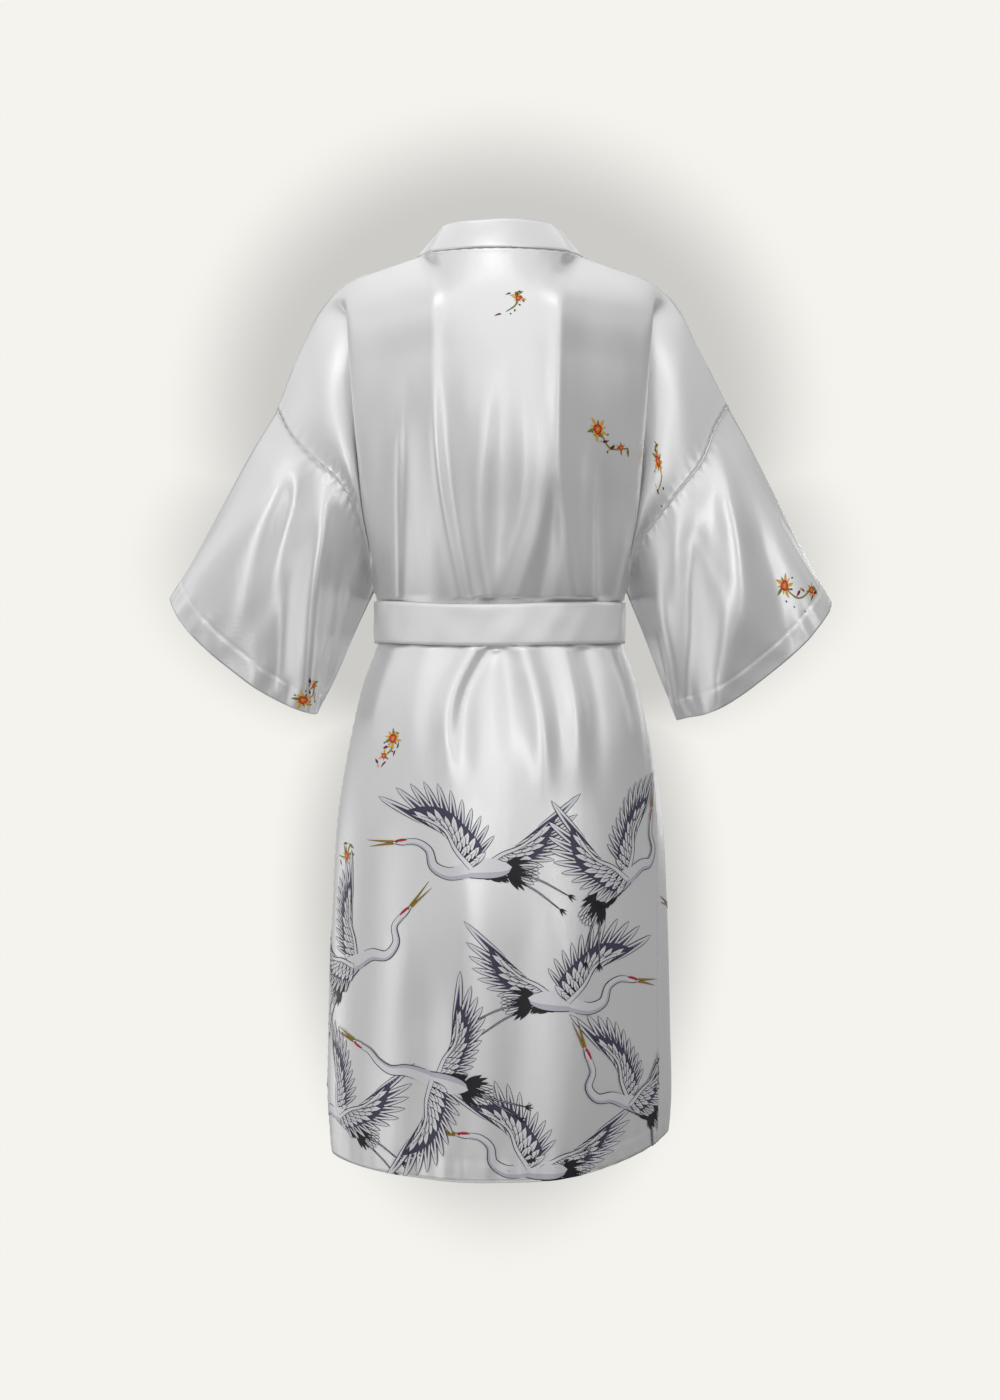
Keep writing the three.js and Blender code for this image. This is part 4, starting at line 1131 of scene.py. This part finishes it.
class PrintPanel:
    """A panel's cloth laid flat: x is the way along a row from its middle column, z minus the drop."""

    def __init__(self, p, downs, middle, way, offset=0.0, step=1.5):
        n = outward(p, grid_normals(p))
        flat = arc_lengths(p, 1)
        flat = (flat - flat[:, middle:middle + 1]) * way + offset
        order = slice(None) if way > 0 else slice(None, None, -1)
        self.low = flat.min()
        self.step = step
        xs = np.arange(flat.min(), flat.max() + step, step)
        both = np.concatenate([p, n], axis=-1)[:, order]
        flat = flat[:, order]
        self.laid = np.array([[np.interp(xs, flat[j], both[j, :, k]) for k in range(6)] for j in range(len(p))])
        self.laid = self.laid.transpose(0, 2, 1)
        self.limits = np.stack([flat[:, 0], flat[:, -1]], axis=1)
        self.downs = downs

    def lift(self, xz):
        """Cloth points and normals under flat points, and which of these lie on the panel."""
        down = -xz[:, 1]
        j = np.interp(down, self.downs, np.arange(len(self.downs)))
        k = np.clip((xz[:, 0] - self.low) / self.step, 0, self.laid.shape[1] - 1.001)
        j0 = np.minimum(j.astype(int), len(self.downs) - 2)
        k0 = k.astype(int)
        a, b = (j - j0)[:, None], (k - k0)[:, None]
        near = lerp(self.laid[j0, k0], self.laid[j0, k0 + 1], b)
        both = lerp(near, lerp(self.laid[j0 + 1, k0], self.laid[j0 + 1, k0 + 1], b), a)
        limits = lerp(self.limits[j0], self.limits[j0 + 1], a)
        inside = (xz[:, 0] > limits[:, 0]) & (xz[:, 0] < limits[:, 1])
        inside &= (down < self.downs[-1]) & (down > self.downs[0])
        return both[:, :3], unit(both[:, 3:]), inside


def lay_strips(strips, turn, size, flip, place):
    """The strips turned, sized, flipped and moved, each as a grid with cells of QUAD or less."""
    c, q = math.cos(math.radians(turn)), math.sin(math.radians(turn))
    matrix = np.array([[c, q], [-q, c]]) * size
    mirror = np.array([flip, 1.0])
    for ink, layer, left, right in strips:
        left, right = left * mirror, right * mirror
        length = max(np.linalg.norm(np.diff(e, axis=0), axis=1).max() for e in (left, right)) * size
        if length > QUAD:
            n = len(left)
            finer = np.linspace(0, n - 1, (n - 1) * math.ceil(length / QUAD) + 1)
            left, right = (np.stack([np.interp(finer, np.arange(n), e[:, k]) for k in (0, 1)], 1)
                           for e in (left, right))
        wide = np.linalg.norm(left - right, axis=1).max() * size
        share = np.linspace(0, 1, max(1, math.ceil(wide / QUAD)) + 1)[None, :, None]
        yield ink, layer, lerp(left[:, None], right[:, None], share) @ matrix + place


def ink_material(ink):
    """A print ink: one flat colour with a share of the satin's gloss."""
    name = "Ink_" + ink
    if name in bpy.data.materials:
        return bpy.data.materials[name]
    _, colour, gloss = INKS[ink]
    material, tree, shader = new_material(name)
    set_inputs(tree, shader, {"Base Color": (*srgb(*colour), 1), "Metallic": gloss, "Roughness": 0.36})
    return material


def print_on(name, panel, drawings):
    """Prints drawings on a panel: one mesh for each ink, lifted off the cloth by its layer."""
    parts = {}
    for strips, turn, size, flip, place, level in drawings:
        for ink, layer, grid in lay_strips(strips, turn, size, flip, np.array(place, float)):
            quads = grid_quads(*grid.shape[:2])
            corners = grid.reshape(-1, 2)[quads]
            first, second = corners[:, 1] - corners[:, 0], corners[:, 3] - corners[:, 0]
            last, other = corners[:, 3] - corners[:, 2], corners[:, 1] - corners[:, 2]
            area = first[:, 0] * second[:, 1] - first[:, 1] * second[:, 0]
            area = area + last[:, 0] * other[:, 1] - last[:, 1] * other[:, 0]
            quads[area < 0] = quads[area < 0][:, ::-1]
            parts.setdefault(ink, []).append(
                (grid.reshape(-1, 2), quads, np.full(grid[..., 0].size, FIRST_LAYER + LAYER_STEP * layer + level)))
    for ink, pieces in parts.items():
        starts = np.cumsum([0] + [len(piece[0]) for piece in pieces])
        points = np.concatenate([piece[0] for piece in pieces])
        quads = np.concatenate([piece[1] + start for piece, start in zip(pieces, starts)])
        height = np.concatenate([piece[2] for piece in pieces])
        place, normal, inside = panel.lift(points)
        quads = quads[inside[quads].any(axis=1)]
        if not len(quads):
            continue
        used, quads = np.unique(quads, return_inverse=True)
        quads = quads.reshape(-1, 4)
        place, normal, height = place[used], normal[used], height[used]
        mesh = bpy.data.meshes.new(name + "_" + ink)
        mesh.from_pydata(((place + normal * height[:, None]) * MM).tolist(), [], quads.tolist())
        mesh.polygons.foreach_set("use_smooth", np.ones(len(quads), bool))
        face = np.empty(len(quads) * 3)
        mesh.polygons.foreach_get("normal", face)
        if (face.reshape(-1, 3) * normal[quads[:, 0]]).sum() < 0:
            mesh.flip_normals()
        mesh.normals_split_custom_set_from_vertices(normal.tolist())
        mesh.materials.append(ink_material(ink))
        obj = link_object(mesh.name, mesh)
        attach(obj, "root")


def print_panels():
    """Each printed panel, with its normals turned outwards."""
    panels = {}
    p, drops = back_grid()
    panels["back"] = PrintPanel(p, drops, p.shape[1] // 2, -1)
    for side, way in SIDES.items():
        p, drops = front_grid(side)
        p = p if way > 0 else p[:, ::-1]
        middle = int(np.argmin(np.abs(p[len(p) * 2 // 3, :, 0])))
        panels["front_" + side] = PrintPanel(p, drops, middle, 1, p[:, middle:middle + 1, 0])
        p = sleeve_grid(side)
        start = p.shape[1] * 3 // 4
        p = np.concatenate([p[:, start:], p[:, :start]], axis=1)
        middle = p.shape[1] // 2
        panels["sleeve_" + side] = PrintPanel(p, np.median(arc_lengths(p, 0), axis=1), middle, way)
    return panels


class RobeCloth(bpy.types.PropertyGroup):
    """Colour and finish of the cloth."""
    colour: FloatVectorProperty(
        name="Satin", description="Colour of the robe's and the belt's satin", subtype="COLOR", size=3,
        min=0, max=1, default=(0.9, 0.9, 0.905))
    gloss: FloatProperty(
        name="Gloss", description="Share of the satin's light that it mirrors as a metal does",
        subtype="FACTOR", min=0, max=1, default=0.72)
    roughness: FloatProperty(
        name="Roughness", description="How far the satin scatters what it mirrors", subtype="FACTOR",
        min=0.05, max=1, default=0.3)


class RobePiece:
    """Shared settings of the robe's operators."""
    bl_options = {"REGISTER", "UNDO"}


class ROBE_OT_back(RobePiece, bpy.types.Operator):
    """Adds the back"""
    bl_idname = "robe.back"
    bl_label = "Back"

    def execute(self, context):
        obj = mesh_from_grid("Back_panel", back_grid()[0])
        face_outward(obj, (0, 116, -191), (0, 1, 0))
        add_piece(obj, "back")
        return {"FINISHED"}


class ROBE_OT_fronts(RobePiece, bpy.types.Operator):
    """Adds the two fronts"""
    bl_idname = "robe.fronts"
    bl_label = "Fronts"

    def execute(self, context):
        for side, way, wide, area in (("left", 1, 0.37, 0.28), ("right", -1, 0.41, 0.3)):
            obj = mesh_from_grid("Front_" + side, front_grid(side)[0])
            face_outward(obj, (way * 90, -100, -230), (0, -1, 0))
            add_piece(obj, "front_" + side)
        return {"FINISHED"}


class ROBE_OT_sleeves(RobePiece, bpy.types.Operator):
    """Adds the two sleeves"""
    bl_idname = "robe.sleeves"
    bl_label = "Sleeves"

    def execute(self, context):
        for side, way in SIDES.items():
            obj = mesh_from_grid("Sleeve_" + side, sleeve_grid(side), ring=True)
            face_outward(obj, (way * 240, 45, -330), (0, 1, 0))
            add_piece(obj, "sleeve_" + side)
            welt = mesh_from_grid("Armhole_welt_" + side, welt_grid(side), ring=True)
            face_outward(welt, (way * 240, 0, -140), (0, 0, 1))
            welt.data.materials.append(get_material("Robe_satin"))
            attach(welt, "root")
        return {"FINISHED"}


class ROBE_OT_neckband(RobePiece, bpy.types.Operator):
    """Adds the band round the neck and down both front edges"""
    bl_idname = "robe.neckband"
    bl_label = "Neckband"

    def execute(self, context):
        obj = mesh_from_grid("Neckband", band_grid())
        face_outward(obj, (0, 62, 18), (0, 0.8, 0.6))
        add_piece(obj, "neckband", thickness=BAND_WALL, walls=("Robe_satin",) * 2)
        return {"FINISHED"}


class ROBE_OT_belt(RobePiece, bpy.types.Operator):
    """Adds the belt round the waist, its knot and its two tails"""
    bl_idname = "robe.belt"
    bl_label = "Belt, knot and tails"

    def execute(self, context):
        belt = mesh_from_grid("Belt", belt_grid(), ring=True)
        face_outward(belt, (0, 93, -385), (0, 1, 0))
        add_piece(belt, "belt",
                  walls=("Belt_satin",) * 2, thickness=BAND_WALL)
        knot = mesh_from_grid("Belt_knot", knot_grid(), ring=True)
        face_outward(knot, (8, KNOT_Y - 13, KNOT_Z), (0, -1, 0))
        add_piece(knot, "belt_knot", walls=("Belt_satin",), thickness=0)
        for side in SIDES:
            tail = mesh_from_grid("Belt_tail_" + side, tail_grid(side))
            face_outward(tail, (20, -130, -600), (0, -1, 0))
            add_piece(tail, "belt_tail_" + side,
                      walls=("Belt_satin",) * 2, thickness=TAIL_WALL)
        return {"FINISHED"}


class ROBE_OT_print(RobePiece, bpy.types.Operator):
    """Prints the cranes and the sprigs of blossom on the panels"""
    bl_idname = "robe.print"
    bl_label = "Print"

    def execute(self, context):
        for name, panel in print_panels().items():
            drawings = []
            for crane in (c for c in CRANES if c.panel == name):
                flat = Drawing()
                flat.crane(POSES[crane.pose])
                drawings.append((flat.strips, crane.turn, crane.size, crane.flip, (crane.x, crane.z),
                                 LEVEL_STEP * crane.level))
            for sprig in (g for g in SPRIGS if g.panel == name):
                flat = Drawing()
                flat.sprig(sprig.size, sprig.turn, sprig.flowers, sprig.seed)
                drawings.append((flat.strips, 0, 1, 1, (sprig.x, sprig.z), 0.0))
            print_on("Print_" + name, panel, drawings)
        return {"FINISHED"}


def strip_light(row, face):
    """An area light from a row of LIGHTS, turned to its aim; face is 1 behind the robe and -1 in front."""
    light = bpy.data.lights.new(row.name, "AREA")
    light.shape = "RECTANGLE"
    light.size, light.size_y = row.wide, row.high
    light.energy = row.watts
    obj = link_object(row.name, light)
    obj.location = (row.x, face * row.y, row.z)
    way = Vector((0, 0, row.aim_z)) - obj.location
    obj.rotation_euler = way.to_track_quat("-Z", "Y").to_euler()


def floor_material():
    """Matt off-white that fades out towards the rim of the floor."""
    material, tree, shader = new_material("Floor")
    place = add_node(tree, "TexCoord").outputs["Object"]
    level = add_node(tree, "Mapping", {"Vector": place, "Scale": (1, 1, 0)})
    length = add_node(tree, "VectorMath", {0: level.outputs["Vector"]}, operation="LENGTH").outputs["Value"]
    set_inputs(tree, shader, {
        "Base Color": (*srgb(*PAPER), 1),
        "Roughness": 0.9,
        "Alpha": mapped(tree, length, FLOOR["radius"] - FLOOR["fade"], FLOOR["radius"], 1, 0),
    })
    return material


def level_ramp(tree, value, levels):
    """A grey ramp over value, -1 to 1, smooth through its levels."""
    stops = [((place + 1) / 2, (level,) * 3) for place, level in levels]
    return ramp(tree, mapped(tree, value, -1, 1), stops, "EASE")


def mixed(tree, factor, first, second, **settings):
    """first mixed with second by factor."""
    inputs = {"Factor": factor, 6: first, 7: second}
    return add_node(tree, "Mix", inputs, data_type="RGBA", **settings).outputs[2]


def backdrop(tree, direction):
    """Off-white paper with a soft shade behind the robe: the darkest of the ellipses in SHADES."""
    shade = None
    for x, z, wide, high in SHADES:
        place = add_node(tree, "Mapping", {"Vector": direction, "Location": (-x / wide, 3, -z / high),
                                           "Scale": (1 / wide, 3, 1 / high)}).outputs["Vector"]
        ball = add_node(tree, "TexGradient", {"Vector": place}, gradient_type="SPHERICAL").outputs["Fac"]
        soft = mapped(tree, ball, 0, SHADE_EDGE, interpolation_type="SMOOTHSTEP")
        if shade:
            soft = add_node(tree, "Math", {0: shade, 1: soft}, operation="MAXIMUM").outputs["Value"]
        shade = soft
    return mixed(tree, shade, (*srgb(*PAPER), 1), (*srgb(*PAPER_SHADE), 1))


def world_light(scene):
    """The backdrop to the camera; to the cloth, a studio with soft bands: a ramp over the direction's z times a
    ramp over its x, which turns from the low one to the up one as z grows through WORLD_TURN."""
    scene.world = bpy.data.worlds.new("Studio")
    scene.world.use_nodes = True
    tree = scene.world.node_tree
    tree.nodes.clear()
    direction = add_node(tree, "TexCoord").outputs["Generated"]
    split = add_node(tree, "SeparateXYZ", {"Vector": direction}).outputs
    side = mixed(tree, mapped(tree, split["Z"], *WORLD_TURN), level_ramp(tree, split["X"], WORLD_SIDE_LOW),
                 level_ramp(tree, split["X"], WORLD_SIDE_UP))
    light = mixed(tree, 1, level_ramp(tree, split["Z"], WORLD_HEIGHT), side, blend_type="MULTIPLY")
    sky = add_node(tree, "Background", {"Color": light, "Strength": WORLD_STRENGTH})
    paper = add_node(tree, "Background", {"Color": backdrop(tree, direction)})
    camera_ray = add_node(tree, "LightPath").outputs["Is Camera Ray"]
    mix = add_node(tree, "MixShader", {"Fac": camera_ray, 1: sky.outputs["Background"],
                                       2: paper.outputs["Background"]})
    add_node(tree, "OutputWorld", {"Surface": mix.outputs["Shader"]})


class ROBE_OT_studio(RobePiece, bpy.types.Operator):
    """Adds the floor, the light and the camera"""
    bl_idname = "robe.studio"
    bl_label = "Studio"

    def execute(self, context):
        scene = context.scene
        scene.view_settings.view_transform = "Standard"
        camera = link_object("Camera", bpy.data.cameras.new("Camera"))
        camera.data.sensor_width = CAMERA["sensor"]
        camera.data.lens = CAMERA["sensor"] * CAMERA["y"] / CAMERA["view_height"]
        camera.location = (0, CAMERA["y"], CAMERA["z"])
        camera.rotation_euler = (math.pi / 2, 0, math.pi)
        scene.camera = camera
        for face in (-1, 1):
            for row in LIGHTS:
                strip_light(row, face)
        world_light(scene)
        turn = np.linspace(0, 2 * np.pi, 96, endpoint=False)
        radii = np.array([0.001, 0.3, FLOOR["radius"]])[:, None] / MM
        ring = np.stack(np.broadcast_arrays(radii * np.cos(turn), radii * np.sin(turn), FLOOR["z"] / MM), axis=-1)
        floor = mesh_from_grid("Floor", ring, ring=True)
        face_outward(floor, (0, 0, FLOOR["z"] / MM), (0, 0, 1))
        floor.data.materials.append(floor_material())
        return {"FINISHED"}


class ROBE_PT_panel(bpy.types.Panel):
    """The robe's settings and pieces"""
    bl_idname = "ROBE_PT_panel"
    bl_label = "Satin kimono robe"
    bl_space_type = "VIEW_3D"
    bl_region_type = "UI"
    bl_category = "Robe"

    def draw(self, context):
        for key in RobeCloth.__annotations__:
            self.layout.prop(context.scene.robe_cloth, key)
        for operator in OPERATORS:
            self.layout.operator(operator.bl_idname)


OPERATORS = (ROBE_OT_back, ROBE_OT_fronts, ROBE_OT_sleeves, ROBE_OT_neckband, ROBE_OT_belt, ROBE_OT_print,
             ROBE_OT_studio)
CLASSES = (RobeCloth, *OPERATORS, ROBE_PT_panel)


def register():
    """Registers the classes and hangs the settings on the scene."""
    for cls in CLASSES:
        bpy.utils.register_class(cls)
    bpy.types.Scene.robe_cloth = PointerProperty(type=RobeCloth)


def unregister():
    """Takes it all away again."""
    del bpy.types.Scene.robe_cloth
    for cls in reversed(CLASSES):
        bpy.utils.unregister_class(cls)


def main():
    """Makes every piece in order."""
    register()
    bpy.ops.robe.back()
    bpy.ops.robe.fronts()
    bpy.ops.robe.sleeves()
    bpy.ops.robe.neckband()
    bpy.ops.robe.belt()
    bpy.ops.robe.print()
    bpy.ops.robe.studio()


if __name__ == "__main__":
    main()
